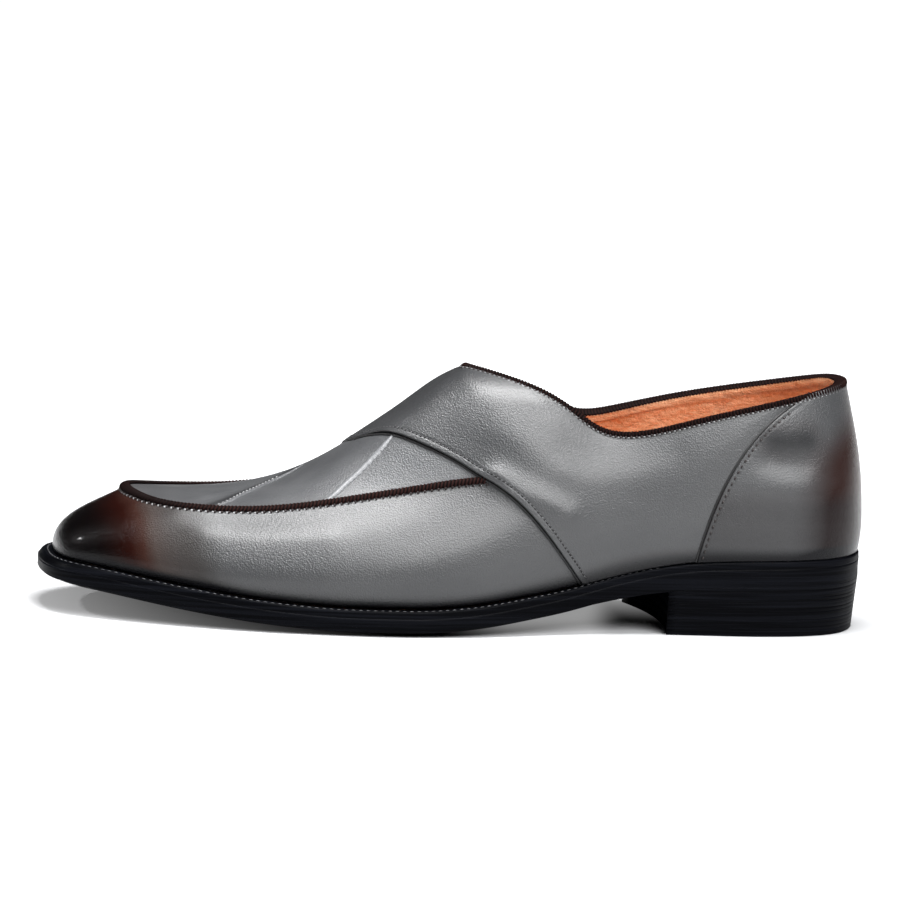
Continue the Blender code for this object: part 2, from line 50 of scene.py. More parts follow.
last = {
    "originP": 149.96, "originY": -0.21,
    "soleDepth": 9.2, "weltDepth": 2.6, "featherGap": 0.6,
    "wall": 2.2, "ridge": 0.55, "full": 0.36, "fullTop": 0.42,
    "throat": 8, "turn": 1.3, "turnSpread": 0.6, "turnTop": 0.25, "turnFoot": 0.12,
    "turnSamples": 9, "turnTaper": 0.95, "turnFull": 0.4,
    "stepS": 0.02, "stepV": 0.01,
}
columns = ("soleP soleLat soleMed welt ridgeP ridgeLat ridgeMed ridgeZ topP topLat topMed topZ"
           " medRise footDeg inDeg outDeg topDeg yawDeg").split()
rows = [
    (0, 0, 0, 2.8, 2.1, 0, 0, 42, 11, 0, 0, 90.3, 0, 8, 3, 3, 14, -90),
    (4.5, -16, 16, 2.8, 6.2, -15.2, 15.2, 42, 13.8, -10.2, 10.2, 89.8, 0.1, 9, 3, 3, 15, -58),
    (17, -28, 28, 2.8, 17.8, -27.2, 27.2, 42, 22, -18.2, 18.4, 88.1, -0.5, 10, 3, 3, 18, -35),
    (42, -34, 33.5, 2.9, 42, -32.6, 32.2, 43, 40, -24.6, 25.2, 84.0, -0.4, 10, 4, 4, 20, -12),
    (74, -34.5, 33, 3.0, 73, -33.2, 32.2, 45, 64, -26.4, 26.8, 78.2, 0.8, 10, 6, 6, 20, -3),
    (104, -37, 31, 3.2, 98, -35.2, 32.2, 48, 86, -26, 26.6, 72.2, 1.6, 12, 12, 12, 26, 3),
    (130, -43.5, 33, 3.6, 120, -36.2, 32.8, 52, 104, -24.4, 24.9, 73.0, -1.1, 16, 18, 18, 36, 15),
    (152, -49, 38.5, 3.8, 138, -34.8, 32.3, 54.5, 124, -18.8, 18.8, 84.5, -3.8, 20, 22, 22, 54, 32),
    (172, -51.5, 44.5, 4.0, 154, -32.5, 31.5, 53, 148, 0, 0, 89.5, 0, 24, 31, 26, 78, 30),
    (190, -51.5, 48.5, 4.0, 172, -31.5, 31.5, 49.5, 165, 0.5, 0.5, 79.1, 0, 26, 40, 35, 84, 12),
    (208, -50, 51, 4.0, 192, -30.5, 31.5, 45.6, 185, 1, 1, 64.3, 0, 26, 45, 50, 90, 2),
    (226, -47.5, 51, 4.0, 213, -29, 31, 41.9, 205, 2, 2, 51.0, 0, 26, 48, 64, 90, 0),
    (246, -42.5, 48.5, 4.2, 233, -26, 29.5, 40, 223, 3, 3, 44.4, 0, 25, 50, 76, 90, 4),
    (266, -36, 43, 4.4, 251, -22, 26, 40.1, 237, 4, 4, 42.6, 0, 20, 52, 82, 90, 12),
    (284, -28, 32.5, 4.7, 262, -15.5, 20, 40.9, 246, 5, 5, 42.4, 0, 13, 54, 84, 90, 35),
    (296.5, -17, 18, 5.1, 268, -4.5, 13, 41.8, 251, 5, 5, 42.6, 0, 8, 56, 85, 90, 62),
    (300, 2, 2, 5.2, 269.5, 5, 5, 42, 254, 5, 5, 42.6, 0, 6, 58, 86, 90, 90),
]
sections = [dict(zip(columns, row)) for row in rows]
throat = last["throat"]
toe = len(sections) - 1
around = 2 * toe

# tread line along the sole: distance from the heel end, height
tread = [(0, 19.2), (40, 18.3), (72, 16.4), (99, 10.7), (114, 6.8), (128, 4.2), (142, 2.0), (156, 0.6),
         (168, 0), (196, 0), (214, 0.9), (241, 3.4), (262, 6.1), (285, 9.0), (300, 10.1)]

# seams on the wall: share of its height, section on the lateral side, on the medial side
panelSeam = [
    (0.0, 5.12, 9.45), (0.12, 5.33, 9.55), (0.24, 5.64, 9.66), (0.385, 6.19, 9.78), (0.465, 6.65, 9.84),
    (0.52, 7.1, 9.88), (0.565, 7.55, 9.91), (0.615, 8.06, 9.94), (0.65, 8.37, 9.96), (0.695, 8.73, 9.99),
    (0.78, 9.26, 10.06), (0.855, 9.62, 10.13), (0.91, 9.84, 10.16), (0.96, 9.98, 10.15), (1.0, 10.1, 10.1),
]
# heel counter's seam in side view: height, distance from the heel end
counterSeam = [(18, 67.6), (34, 64.8), (48, 60.4), (62, 53.5), (72, 46.1), (80, 37.4), (88, 25), (92, 18)]
counterSearch = {"from": 1.2, "to": 4.8, "halvings": 24}  # sections between which that seam is looked for


def smoothCurve(knots, values):  # cubic through the knots, straight at its ends
    knots = np.asarray(knots, float)
    values = np.asarray(values, float).reshape(len(knots), -1)
    step = np.diff(knots)
    slope = np.diff(values, axis=0) / step[:, None]
    system = np.eye(len(knots))
    load = np.zeros_like(values)
    for i in range(1, len(knots) - 1):
        system[i, i - 1:i + 2] = step[i - 1], 2 * (step[i - 1] + step[i]), step[i]
        load[i] = 6 * (slope[i] - slope[i - 1])
    bend = np.linalg.solve(system, load)

    def at(where):
        where = np.atleast_1d(np.asarray(where, float))
        i = np.clip(np.searchsorted(knots, where, side="right") - 1, 0, len(step) - 1)
        h = step[i][:, None]
        b = ((where - knots[i]) / step[i])[:, None]
        a = 1 - b
        line = a * values[i] + b * values[i + 1]
        return line + ((a ** 3 - a) * bend[i] + (b ** 3 - b) * bend[i + 1]) * h * h / 6

    return at


def closedCurve(values, wrap=6):
    count = len(values)
    spots = range(-wrap, count + wrap + 1)
    return smoothCurve(spots, [values[i % count] for i in spots])


def roundShoe(lateral, medial):
    return closedCurve(lateral + medial[-2:0:-1])


def plan(p, y):
    return last["originP"] - p, y - last["originY"]


def railPoint(row, rail, side):
    return (*plan(row[rail + "P"], row[rail + side]), row[rail + "Z"])


def slopesOf(row, side):
    yaw = math.radians(row["yawDeg"])
    return [row["footDeg"], row["inDeg"], row["outDeg"], row["topDeg"], math.sin(yaw), side * math.cos(yaw)]


def tableCurve(table):  # the first number of each row against the others
    return smoothCurve([row[0] for row in table], [row[1:] for row in table])


soleEdge = roundShoe([plan(r["soleP"], r["soleLat"]) for r in sections],
                     [plan(r["soleP"], r["soleMed"]) for r in sections])
weltWidth = roundShoe([(r["welt"],) for r in sections], [(r["welt"],) for r in sections])
ridgeRail = roundShoe([railPoint(r, "ridge", "Lat") for r in sections],
                      [railPoint(r, "ridge", "Med") for r in sections])
slopeRail = roundShoe([slopesOf(r, 1) for r in sections], [slopesOf(r, -1) for r in sections])
topLateral = [railPoint(r, "top", "Lat") for r in sections]
topMedial = [np.add(railPoint(r, "top", "Med"), (0, 0, r["medRise"])) for r in sections]
collarRail = closedCurve(topLateral[:throat + 1] + topMedial[throat - 1:0:-1])
centreRail = smoothCurve(range(throat, toe + 1), topLateral[throat:])
treadLine = tableCurve(tread)
panelEdge = tableCurve(panelSeam)
counterLine = tableCurve(counterSeam)


def bump(x):
    return np.exp(-x * x)


def soft(x, start, end):  # smooth step from 0 to 1
    t = np.clip((x - start) / (end - start), 0, 1)
    return t * t * (3 - 2 * t)


def treadZ(x):
    return np.maximum(treadLine(last["originP"] - np.asarray(x))[:, 0], 0)


def unit(vectors):
    return vectors / np.linalg.norm(vectors, axis=-1, keepdims=True)


def outward(rail, s):
    run = unit((rail(s + last["stepS"]) - rail(s - last["stepS"]))[:, :2])
    return np.column_stack([-run[:, 1], run[:, 0], np.zeros(len(run))])


def insetEdge(s, inset):
    s = np.atleast_1d(s)
    return soleEdge(s) - outward(soleEdge, s)[:, :2] * np.reshape(inset, (-1, 1))


def overTread(s, inset, rise):  # points in from the sole's edge, at a height over the tread
    xy = insetEdge(s, inset)
    return np.column_stack([xy, treadZ(xy[:, 0]) + rise])


def footRail(s):
    return overTread(s, weltWidth(s), last["soleDepth"] + last["featherGap"])


def fromHeel(s):  # sections from the back of the heel, counted alike on both sides
    s = np.mod(s, around)
    return np.minimum(s, around - s)


def topRail(s):
    s = np.mod(s, around)
    t = fromHeel(s)
    onCollar = collarRail(np.where(s < toe, s, s - around + 2 * throat))
    return np.where((t < throat)[:, None], onCollar, centreRail(np.maximum(t, throat)))


def lean(degrees, heading):
    angle = np.radians(degrees)[:, None]
    return np.cos(angle) * np.array([0, 0, 1]) + np.sin(angle) * heading


def bezier(a, b, c, d, u):
    u = u[:, None]
    return (1 - u) ** 3 * a + 3 * u * (1 - u) ** 2 * b + 3 * u * u * (1 - u) * c + u ** 3 * d


def paired(s, v):
    return np.broadcast_arrays(np.atleast_1d(np.asarray(s, float)), v)


def bareWall(s, v):  # outer face of the upper: s sections round the shoe, v from foot to top
    s, v = paired(s, v)
    s = np.mod(s, around)
    foot, ridge, top, slopes = footRail(s), ridgeRail(s), topRail(s), slopeRail(s)
    level = unit(np.column_stack([slopes[:, 4:6], np.zeros(len(s))]))
    away = outward(ridgeRail, s)
    low = last["full"] * np.linalg.norm(ridge - foot, axis=1)[:, None]
    high = last["fullTop"] * np.linalg.norm(top - ridge, axis=1)[:, None]
    share = last["ridge"]
    below = bezier(foot, foot + low * lean(slopes[:, 0], outward(soleEdge, s)),
                   ridge - low * lean(slopes[:, 1], -away), ridge, np.clip(v / share, 0, 1))
    above = bezier(ridge, ridge + high * lean(slopes[:, 2], -away),
                   top - high * lean(slopes[:, 3], level), top, np.clip((v - share) / (1 - share), 0, 1))
    return np.where((v <= share)[:, None], below, above)


def wall(s, v):  # the same, with the turn from collar to centre line drawn soft
    s, v = paired(s, v)
    points = bareWall(s, v)
    off = np.abs(fromHeel(s) - throat)
    turn, ridge = last["turn"], last["ridge"]
    near = (off < turn) & (v > ridge)
    if near.any():
        s, v, off = s[near], v[near], off[near]
        spread = turn * last["turnSpread"] * soft(1 - v, 0, last["turnTop"])
        spread = spread * soft(v, ridge, ridge + last["turnFoot"])
        steps = np.linspace(-1, 1, last["turnSamples"])
        weights = np.cos(steps * math.pi / 2 * last["turnTaper"]) ** 2
        mean = sum(w * bareWall(s + k * spread, v) for k, w in zip(steps, weights)) / weights.sum()
        points[near] += (mean - points[near]) * soft(-off, -turn, -turn * last["turnFull"])[:, None]
    return points


def wallNormal(s, v):
    s, v = paired(s, v)
    along = wall(s + last["stepS"], v) - wall(s - last["stepS"], v)
    up = wall(s, np.minimum(v + last["stepV"], 1)) - wall(s, np.maximum(v - last["stepV"], 0))
    normal = np.cross(up, along)
    normal[np.linalg.norm(normal, axis=1) < 1e-9] = 0, 0, 1  # front tip of the centre line
    return unit(normal)


def counterEdge(shares):  # sections where the counter's seam crosses each share of the wall
    shares = np.atleast_1d(np.asarray(shares, float))
    found = []
    for side in (1, -1):
        low, high = np.full(len(shares), counterSearch["from"]), np.full(len(shares), counterSearch["to"])
        for _ in range(counterSearch["halvings"]):
            middle = (low + high) / 2
            points = wall(side * middle, shares)
            ahead = last["originP"] - points[:, 0] > counterLine(points[:, 2])[:, 0]
            low, high = np.where(ahead, low, middle), np.where(ahead, middle, high)
        found.append((low + high) / 2)
    return np.column_stack(found)


def gapToLine(points, line):  # distance of each point from a run of points
    line = np.asarray(line)
    best = np.full(len(points), 1e9)
    for a, b in zip(line[:-1], line[1:]):
        run = b - a
        share = np.clip((points - a) @ run / max(run @ run, 1e-12), 0, 1)
        best = np.minimum(best, np.linalg.norm(points - a - share[:, None] * run, axis=1))
    return best


# soft ridges (+) and troughs (-) of the leather: width and height in mm, then wall points (section, share)
creases = {
    "panel swell": (4.5, 1.1, [(7.15, 0.565), (6.62, 0.515), (6.15, 0.485), (5.75, 0.44)]),
    "cord under panel": (2.6, 0.6, [(7.35, 0.568), (7.05, 0.56)]),
    "panel rise": (7.0, 0.6, [(7.2, 0.745), (6.5, 0.70), (6.1, 0.675)]),
    "counter dent": (6.0, -1.3, [(3.0, 0.79), (2.86, 0.775), (2.55, 0.77)]),
    "counter swell": (6.0, 0.8, [(3.1, 0.67), (2.9, 0.655), (2.5, 0.645)]),
    "vamp roll": (6.0, 0.5, [(12.3, 0.345), (11.5, 0.35), (10.7, 0.35), (10.2, 0.345)]),
    "throat puff": (7.0, 0.3, [(7.9, 0.96), (7.3, 0.96), (6.7, 0.95)]),
    "pleat hollow": (2.6, -0.5, [(12.75, 0.64), (12.54, 0.80), (12.31, 0.97)]),
    "collar trough": (6.0, -0.5, [(6.2, 0.80), (5.4, 0.80), (4.4, 0.84)]),
}
creaseFade = {"foot": (0.0, 0.15), "top": (0.9, 1.0), "ahead": 0.8}


def creaseLine(spots):
    path = smoothCurve(range(len(spots)), spots)(np.linspace(0, len(spots) - 1, 12))
    return wall(path[:, 0], path[:, 1])


creaseLines = [(wide, high, creaseLine(spots)) for wide, high, spots in creases.values()]


def relief(points):
    return sum(high * bump(gapToLine(points, line) / wide) for wide, high, line in creaseLines)


def skin(s, v, lift=0.0):  # the wall with its creases, which fade out at the foot and on the centre line
    s, v = paired(s, v)
    points = wall(s, v)
    ahead = soft(fromHeel(s), throat - creaseFade["ahead"], throat)
    height = relief(points) * soft(v, *creaseFade["foot"]) * (1 - ahead * soft(v, *creaseFade["top"]))
    return points + wallNormal(s, v) * np.reshape(height + lift, (-1, 1))


def plainWall(s, v, lift):
    return wall(s, v) + wallNormal(s, v) * lift


print("last ready:", toe, "sections a side,", len(creases), "creases")


# mesh making

def addToScene(name, data):
    thing = bpy.data.objects.new(name, data)
    bpy.context.scene.collection.objects.link(thing)
    return thing


def makeObject(name, verts, faces, slot, replaced=()):
    mesh = bpy.data.meshes.new(name)
    mesh.from_pydata((np.asarray(verts) * mm).tolist(), [], faces)
    mesh.validate()
    mesh.shade_smooth()
    piece = addToScene(name, mesh)
    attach(piece, "root")
    if replaced:
        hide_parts(*replaced)
    return piece


def paint(piece, name, values):  # a number at every point, for the finish to read
    layer = piece.data.attributes.new(name, "FLOAT", "POINT")
    layer.data.foreach_set("value", np.asarray(values, np.float32))


def gridFaces(rowCount, columnCount, start=0, closed=False, flip=False):
    faces = []
    for i in range(rowCount - 1 + closed):
        near = start + i * columnCount
        far = start + (i + 1) % rowCount * columnCount
        for j in range(columnCount - 1):
            face = (near + j, near + j + 1, far + j + 1, far + j)
            faces.append(face[::-1] if flip else face)
    return faces


def shellFaces(rowCount, columnCount, closed=False, start=0, joined=None):
    # outer grid, inner grid behind it, and the strips that close its free edges
    half = rowCount * columnCount
    faces = gridFaces(rowCount, columnCount, start, closed)
    faces += gridFaces(rowCount, columnCount, start + half, closed, True)
    rim = []
    for i in range(rowCount - 1 + closed):
        near, far = i * columnCount, (i + 1) % rowCount * columnCount
        rim.append((near, far))
        rim.append((far + columnCount - 1, near + columnCount - 1))
    lastRow = (rowCount - 1) * columnCount
    for j in range(columnCount - 1):
        if closed:
            break
        rim.append((j + 1, j))
        if joined is None or not (joined[j] and joined[j + 1]):
            rim.append((lastRow + j, lastRow + j + 1))
    return faces + [(start + a, start + b, start + b + half, start + a + half) for a, b in rim]


def makeShell(name, outer, inner, closed=False, **how):
    rowCount, columnCount = outer.shape[:2]
    verts = np.concatenate([outer.reshape(-1, 3), inner.reshape(-1, 3)])
    return makeObject(name, verts, shellFaces(rowCount, columnCount, closed), **how)


def ringFaces(rowCount, columnCount, start=0, closed=False):  # rings of points, joined in order
    faces = []
    for i in range(rowCount - 1 + closed):
        near, far = start + i * columnCount, start + (i + 1) % rowCount * columnCount
        for j in range(columnCount):
            k = (j + 1) % columnCount
            faces.append((near + j, near + k, far + k, far + j))
    return faces


def tubeFaces(rowCount, columnCount, start=0):  # the same, with both ends capped
    final = start + (rowCount - 1) * columnCount
    caps = [tuple(range(start, start + columnCount))[::-1], tuple(range(final, final + columnCount))]
    return ringFaces(rowCount, columnCount, start) + caps


def makeTube(name, rings, closed=False, **how):
    rings = np.asarray(rings)
    size = rings.shape[:2]
    faces = ringFaces(*size, closed=True) if closed else tubeFaces(*size)
    return makeObject(name, rings.reshape(-1, 3), faces, **how)


weld = {"doubles": 0.005, "slivers": 0.0005}


def fixNormals(piece):
    bm = bmesh.new()
    bm.from_mesh(piece.data)
    bmesh.ops.remove_doubles(bm, verts=bm.verts, dist=weld["doubles"] * mm)
    bmesh.ops.dissolve_degenerate(bm, edges=bm.edges, dist=weld["slivers"] * mm)
    bmesh.ops.recalc_face_normals(bm, faces=bm.faces)
    bm.to_mesh(piece.data)
    bm.free()
    return piece


def treeOf(piece):
    mesh = piece.data
    return BVHTree.FromPolygons([v.co for v in mesh.vertices], [tuple(f.vertices) for f in mesh.polygons])


def roundTurns(count):
    return np.linspace(0, 2 * np.pi, count, endpoint=False)


def lengthAlong(path):  # length of a run of points, up to each of them
    return np.concatenate([[0], np.cumsum(np.linalg.norm(np.diff(path, axis=0), axis=1))])


def evenly(path, pitch):  # points a pitch apart along a run of points
    length = lengthAlong(path)
    where = np.linspace(0, length[-1], max(int(length[-1] / pitch), 2) + 1)
    return np.column_stack([np.interp(where, length, path[:, k]) for k in range(3)])


def dropOn(tree, path):  # nearest points of a piece, with its normals
    places, normals = [], []
    for point in path:
        place, normal, _, _ = tree.find_nearest(Vector(point) * mm)
        places.append(np.array(place) / mm)
        normals.append(np.array(normal))
    return np.array(places), unit(np.array(normals))


threadMesh = {"rings": 7, "sides": 6, "endGirth": 0.02}


def stitchRow(name, path, normals, stitch, slot):
    # one short sunk-ended thread for each pitch of the path
    verts, faces = [], []
    turn = math.radians(stitch.get("slant", 0))
    for i in range(len(path) - 1):
        run = path[i + 1] - path[i]
        half = np.linalg.norm(run) * stitch["fill"] / 2
        run = unit(run)
        normal = unit(normals[i] + normals[i + 1])
        side = unit(np.cross(normal, run))
        along = math.cos(turn) * run + math.sin(turn) * side
        side = math.cos(turn) * side - math.sin(turn) * run
        middle = (path[i] + path[i + 1]) / 2
        start = len(verts)
        for u in np.linspace(-1, 1, threadMesh["rings"]):
            girth = stitch["radius"] * math.sqrt(max(1 - abs(u) ** 3, threadMesh["endGirth"]))
            centre = middle + along * half * u + normal * (stitch["lift"] - stitch["sink"] * u * u)
            for a in roundTurns(threadMesh["sides"]):
                verts.append(centre + girth * (math.cos(a) * side + math.sin(a) * normal))
        faces += tubeFaces(threadMesh["rings"], threadMesh["sides"], start)
    return makeObject(name, verts, faces, slot)


# camera at the photo's angle; pixels per mm at the target set the lens

view = {"target": (-2.94, 0.21, 59.8), "away": 1800, "pixelsPerMm": 2.764, "clipEnd": 50,
        "down": 8.5, "turn": 8.5, "roll": 3.0, "image": 900, "sensor": 36}


def makeCamera():
    e, a, r = (math.radians(view[k]) for k in ("down", "turn", "roll"))
    look = Vector((math.sin(a) * math.cos(e), math.cos(a) * math.cos(e), -math.sin(e)))
    right = Vector((math.cos(a), -math.sin(a), 0))
    up = right.cross(look)
    rolledRight = math.cos(r) * right + math.sin(r) * up
    rolledUp = -math.sin(r) * right + math.cos(r) * up
    data = bpy.data.cameras.new("camera")
    data.sensor_width = view["sensor"]
    data.lens = view["sensor"] * view["pixelsPerMm"] * view["away"] / view["image"]
    data.clip_end = view["clipEnd"]
    camera = addToScene("camera", data)
    spot = (Vector(view["target"]) - look * view["away"]) * mm
    turned = Matrix((rolledRight, rolledUp, -look)).transposed().to_4x4()
    camera.matrix_world = Matrix.Translation(spot) @ turned
    bpy.context.scene.camera = camera


makeCamera()
print("camera ready")


# sole unit: outsole, welt and heel block

soleUnit = {"edgeLift": 1.5, "edgeWidth": 9.0, "edgeDrop": 0.9, "toeThin": 1.6, "toeRun": 4, "seatEnd": 5,
            "plateReach": 20, "weltReach": 11.0, "weltGroove": 0.25, "weltLean": 0.3, "toeLean": 2.0,
            "steps": 14}
weltThread = {"reach": 0.74, "inset": 1.52, "below": 0.12, "pitch": 2.6,
              "radius": 0.24, "fill": 0.7, "lift": 0.06, "sink": 0.25}
heelBlock = {"taper": 1.4, "lines": 13, "lineDepth": 0.16, "firstLine": 0.03, "lineBand": 0.94,
             "breastLat": 4.06, "breastMed": 4.22, "hollow": 4.5, "columns": 12, "stations": 60, "crowd": 1.5}


def soleStations(steps):  # from heel to toe
    return np.linspace(0, toe, toe * steps + 1)


def roundStations(steps):  # all round the shoe
    return np.linspace(0, around, around * steps, endpoint=False)


def plateRings(t, profile):
    # the profile's insets and heights, from the top round the edge to the bottom, then back up the other side
    inset, rise = profile(t)
    rings = []
    for s, order in ((t, 1), (around - t, -1)):
        for k in range(inset.shape[1])[::order]:
            rings.append(overTread(s, inset[:, k], rise[:, k]))
    return np.stack(rings, axis=1)


def outsoleProfile(t):
    top = last["soleDepth"] - last["weltDepth"]
    drop = top - soleUnit["edgeDrop"]
    reach, width = soleUnit["plateReach"], soleUnit["edgeWidth"]
    seat = np.clip(soleUnit["seatEnd"] - t, 0, 1)
    thin = np.clip((t - toe) / soleUnit["toeRun"] + 1, 0, 1) ** 2
    edge = soleUnit["edgeLift"] + soleUnit["toeThin"] * thin - soleUnit["edgeLift"] * seat
    # inset, height, share of the edge's lift; the two insets of the lower corner shrink over the heel
    shape = [(reach, top, 0), (0.0, top, 0), (0.02, drop, 0), (0.12, drop * 0.6, 0.4), (0.0, 0.9, 0.85),
             (0.15, 0.35, 1), (0.5, 0.05, 1), (width * 0.5, 0, 0.5), (width, 0, 0), (reach, 0, 0)]
    inset = np.tile([row[0] for row in shape], (len(t), 1))
    inset[:, 5:7] *= (1 - seat)[:, None]
    rise = np.array([[row[1] + row[2] * e for row in shape] for e in edge])
    return inset, rise


def makeOutsole():
    return fixNormals(makeTube("outsole_plate", plateRings(soleStations(soleUnit["steps"]), outsoleProfile),
                               slot="black_rubber", replaced=("outsole",)))


def weltLip(s):  # how far the welt's upper edge leans in, most at the toe
    atToe = np.clip(1 - np.abs(s - toe) / soleUnit["toeRun"], 0, 1)
    return soleUnit["weltLean"] + (soleUnit["toeLean"] - soleUnit["weltLean"]) * atToe


def makeWelt():
    s = roundStations(soleUnit["steps"])
    top = last["soleDepth"]
    low = top - last["weltDepth"]
    groove = top - soleUnit["weltGroove"]
    reach = soleUnit["weltReach"]
    # inset, height, share of the lean
    shape = [(reach, low, 0), (0.0, low, 0), (0.0, low + 0.3, 0), (0.0, low + 0.8, 0.2),
             (-0.1, top - 0.7, 0.7), (0, top - 0.15, 1), (0.35, top, 1), (1.0, top, 1),
             (1.35, groove, 1), (1.7, groove, 1), (2.05, top, 1), (reach, top, 0)]
    rings = [overTread(s, inset + leaning * weltLip(s), rise) for inset, rise, leaning in shape]
    return fixNormals(makeTube("welt_strip", np.stack(rings, axis=1), closed=True, slot="black_rubber",
                               replaced=("welt",)))


def makeWeltStitches():
    s = toe + toe * weltThread["reach"] * np.linspace(-1, 1, 900)
    line = overTread(s, weltThread["inset"] + weltLip(s), last["soleDepth"] - weltThread["below"])
    path = evenly(line, weltThread["pitch"])
    up = np.tile([0.0, 0.0, 1.0], (len(path), 1))
    return stitchRow("welt_stitches", path, up, weltThread, "black_rubber")


def heelLevels():
    # from top to floor as shares of the height, with the depth of the fine lines
    first = heelBlock["firstLine"]
    pitch = heelBlock["lineBand"] / heelBlock["lines"]
    levels = [(0.0, 0.0), (0.012, 0.0), (first, 0)]
    for i in range(heelBlock["lines"]):
        base = first + i * pitch
        deep = heelBlock["lineDepth"] * (0.7 + 0.3 * math.cos(i * 2.3))  # no two lines quite alike
        for at, depth in ((0.45, 0), (0.6, deep), (0.75, deep), (0.9, 0)):
            levels.append((base + at * pitch, depth))
    return levels + [(0.98, 0), (0.993, 0.12), (1.0, 0.5)]


def heelRow(along, share, groove):
    inset = heelBlock["taper"] * share + groove
    lateral = insetEdge(along * heelBlock["breastLat"], inset)[0]
    medial = insetEdge(around - along * heelBlock["breastMed"], inset)[0]
    u = np.linspace(0, 1, heelBlock["columns"] + 1)
    xy = lateral + (medial - lateral) * u[:, None]
    xy[:, 0] += heelBlock["hollow"] * 4 * u * (1 - u) * along ** 3
    return np.column_stack([xy, treadZ(xy[:, 0]) * (1 - share)])


def makeHeel():
    levels = heelLevels()
    rings = []
    for along in np.linspace(0, 1, heelBlock["stations"] + 1) ** heelBlock["crowd"]:
        grid = [heelRow(along, *level) for level in levels]
        down = [row[0] for row in grid]
        up = [row[-1] for row in grid[::-1]]
        rings.append([*down, *grid[-1][1:-1], *up, *grid[0][-2:0:-1]])
    rings = np.array(rings)
    front = np.array([heelRow(1, *level) for level in levels])
    start = rings.shape[0] * rings.shape[1]
    faces = ringFaces(*rings.shape[:2]) + gridFaces(*front.shape[:2], start)
    verts = np.concatenate([rings.reshape(-1, 3), front.reshape(-1, 3)])
    piece = makeObject("heel_block", verts, faces, slot="black_rubber", replaced=("heel",))
    inside = np.zeros(front.shape[:2])
    inside[:, 1:-1] = 1
    paint(piece, "breast", np.concatenate([np.zeros(start), inside.ravel()]))
    return fixNormals(piece)


outsole = makeOutsole()
welt = makeWelt()
weltStitches = makeWeltStitches()
heel = makeHeel()
print("sole unit ready")


# upper: outer leather, lining and footbed

upperCut = {"leather": 1.1, "steps": 16, "rowsBelow": 40, "rowsAbove": 40, "deepest": 0.5,
            "apronFrom": 0.548, "apronFull": 0.562}
liningCut = {"outer": 1.25, "inner": 1.75, "steps": 20, "rowCount": 80, "foot": 0.02, "reach": 11.5,
             "wrinkle": 0.3, "bead": 0.7, "beadWide": 0.7, "strip": 2.4, "seamP": 47.6, "seamLean": 0.15,
             "shadeDown": 0.5, "shadeWide": 0.45, "seamShade": 0.5}


def wallGrid(stations, shares, lift, shape=skin):
    s = np.repeat(stations, len(shares))
    v = np.tile(shares, len(stations))
    return shape(s, v, lift).reshape(len(stations), len(shares), 3)


def shallowSkin(s, v, lift):  # for the upper, whose deep hollows are all under other pieces
    plain = plainWall(s, v, lift)
    normal = wallNormal(s, v)
    height = np.sum((skin(s, v, lift) - plain) * normal, axis=1)
    return plain + normal * np.maximum(height, -upperCut["deepest"])[:, None]


def makeUpper():
    stations = roundStations(upperCut["steps"])
    shares = np.concatenate([np.linspace(0, last["ridge"], upperCut["rowsBelow"] + 1)[:-1],
                             np.linspace(last["ridge"], 1, upperCut["rowsAbove"] + 1)])
    piece = makeShell("upper_shell", wallGrid(stations, shares, 0.0, shallowSkin),
                      wallGrid(stations, shares, -upperCut["leather"], plainWall), closed=True,
                      slot="grey_leather", replaced=("upper",))
    onApron = soft(shares, upperCut["apronFrom"], upperCut["apronFull"])
    paint(piece, "apron", np.tile(onApron, 2 * len(stations)))
    return fixNormals(piece)


def liningSkin(s, v, lift):
    points = wall(s, v)
    normal = wallNormal(s, v)
    p = last["originP"] - points[:, 0]
    z = points[:, 2]
    down = topRail(s)[:, 2] - z
    behind = soft(-np.abs(s), -throat - 1, -throat)
    # two crossed ripples, a bead below the collar and an upright seam
    wave = np.sin(p * 1.1 + z * 1.5) * np.sin(p * 0.31 + 1)
    wave += 0.6 * np.sin(p * 1.9 - z * 0.8 + 1) * np.sin(z * 0.4 + p * 0.17)
    fold = liningCut["wrinkle"] * wave * soft(down, 3, 6)
    strip = liningCut["bead"] * bump((down - liningCut["strip"]) / liningCut["beadWide"])
    upright = (p - liningCut["seamP"] + liningCut["seamLean"] * down) / liningCut["beadWide"]
    seam = liningCut["bead"] * bump(upright) * soft(down, 4, 6)
    return points + normal * np.reshape(lift + behind * (fold + seam - strip), (-1, 1))


def makeLining():
    # the two sides run from the back to the forefoot, where nothing shows
    reach = liningCut["reach"]
    stations = np.linspace(-reach, reach, int(2 * reach * liningCut["steps"]) + 1)
    shares = np.linspace(liningCut["foot"], 1, liningCut["rowCount"])
    piece = makeShell("lining", wallGrid(stations, shares, -liningCut["outer"], liningSkin),
                      wallGrid(stations, shares, -liningCut["inner"], liningSkin), slot="tan_leather")
    points = wallGrid(stations, shares, 0.0).reshape(-1, 3)
    down = topRail(np.repeat(stations, len(shares)))[:, 2] - points[:, 2]
    # painted shade just below the bead under the collar, and along the upright seam
    seamShades = bump((down - liningCut["strip"] - liningCut["shadeDown"]) / liningCut["shadeWide"])
    upright = (last["originP"] - points[:, 0] - liningCut["seamP"]) / liningCut["seamShade"]
    seamShades += bump(upright) * soft(down, 2, 3)
    paint(piece, "seam", np.tile(seamShades, 2))
    return fixNormals(piece)


footbed = {"depth": 3.0, "reach": 14, "steps": 10}


def footbedProfile(t):
    low = last["soleDepth"] + last["featherGap"]
    top = low + footbed["depth"]
    reach = footbed["reach"]
    base = weltWidth(t)[:, 0] + last["wall"]
    shape = [(reach, top + 0.2), (6, top), (1.2, top - 0.05), (0.4, top - 0.3), (0, top - 0.9), (0, low),
             (reach, low)]
    inset = np.array([[b + row[0] for row in shape] for b in base])
    rise = np.tile([row[1] for row in shape], (len(t), 1))
    return inset, rise


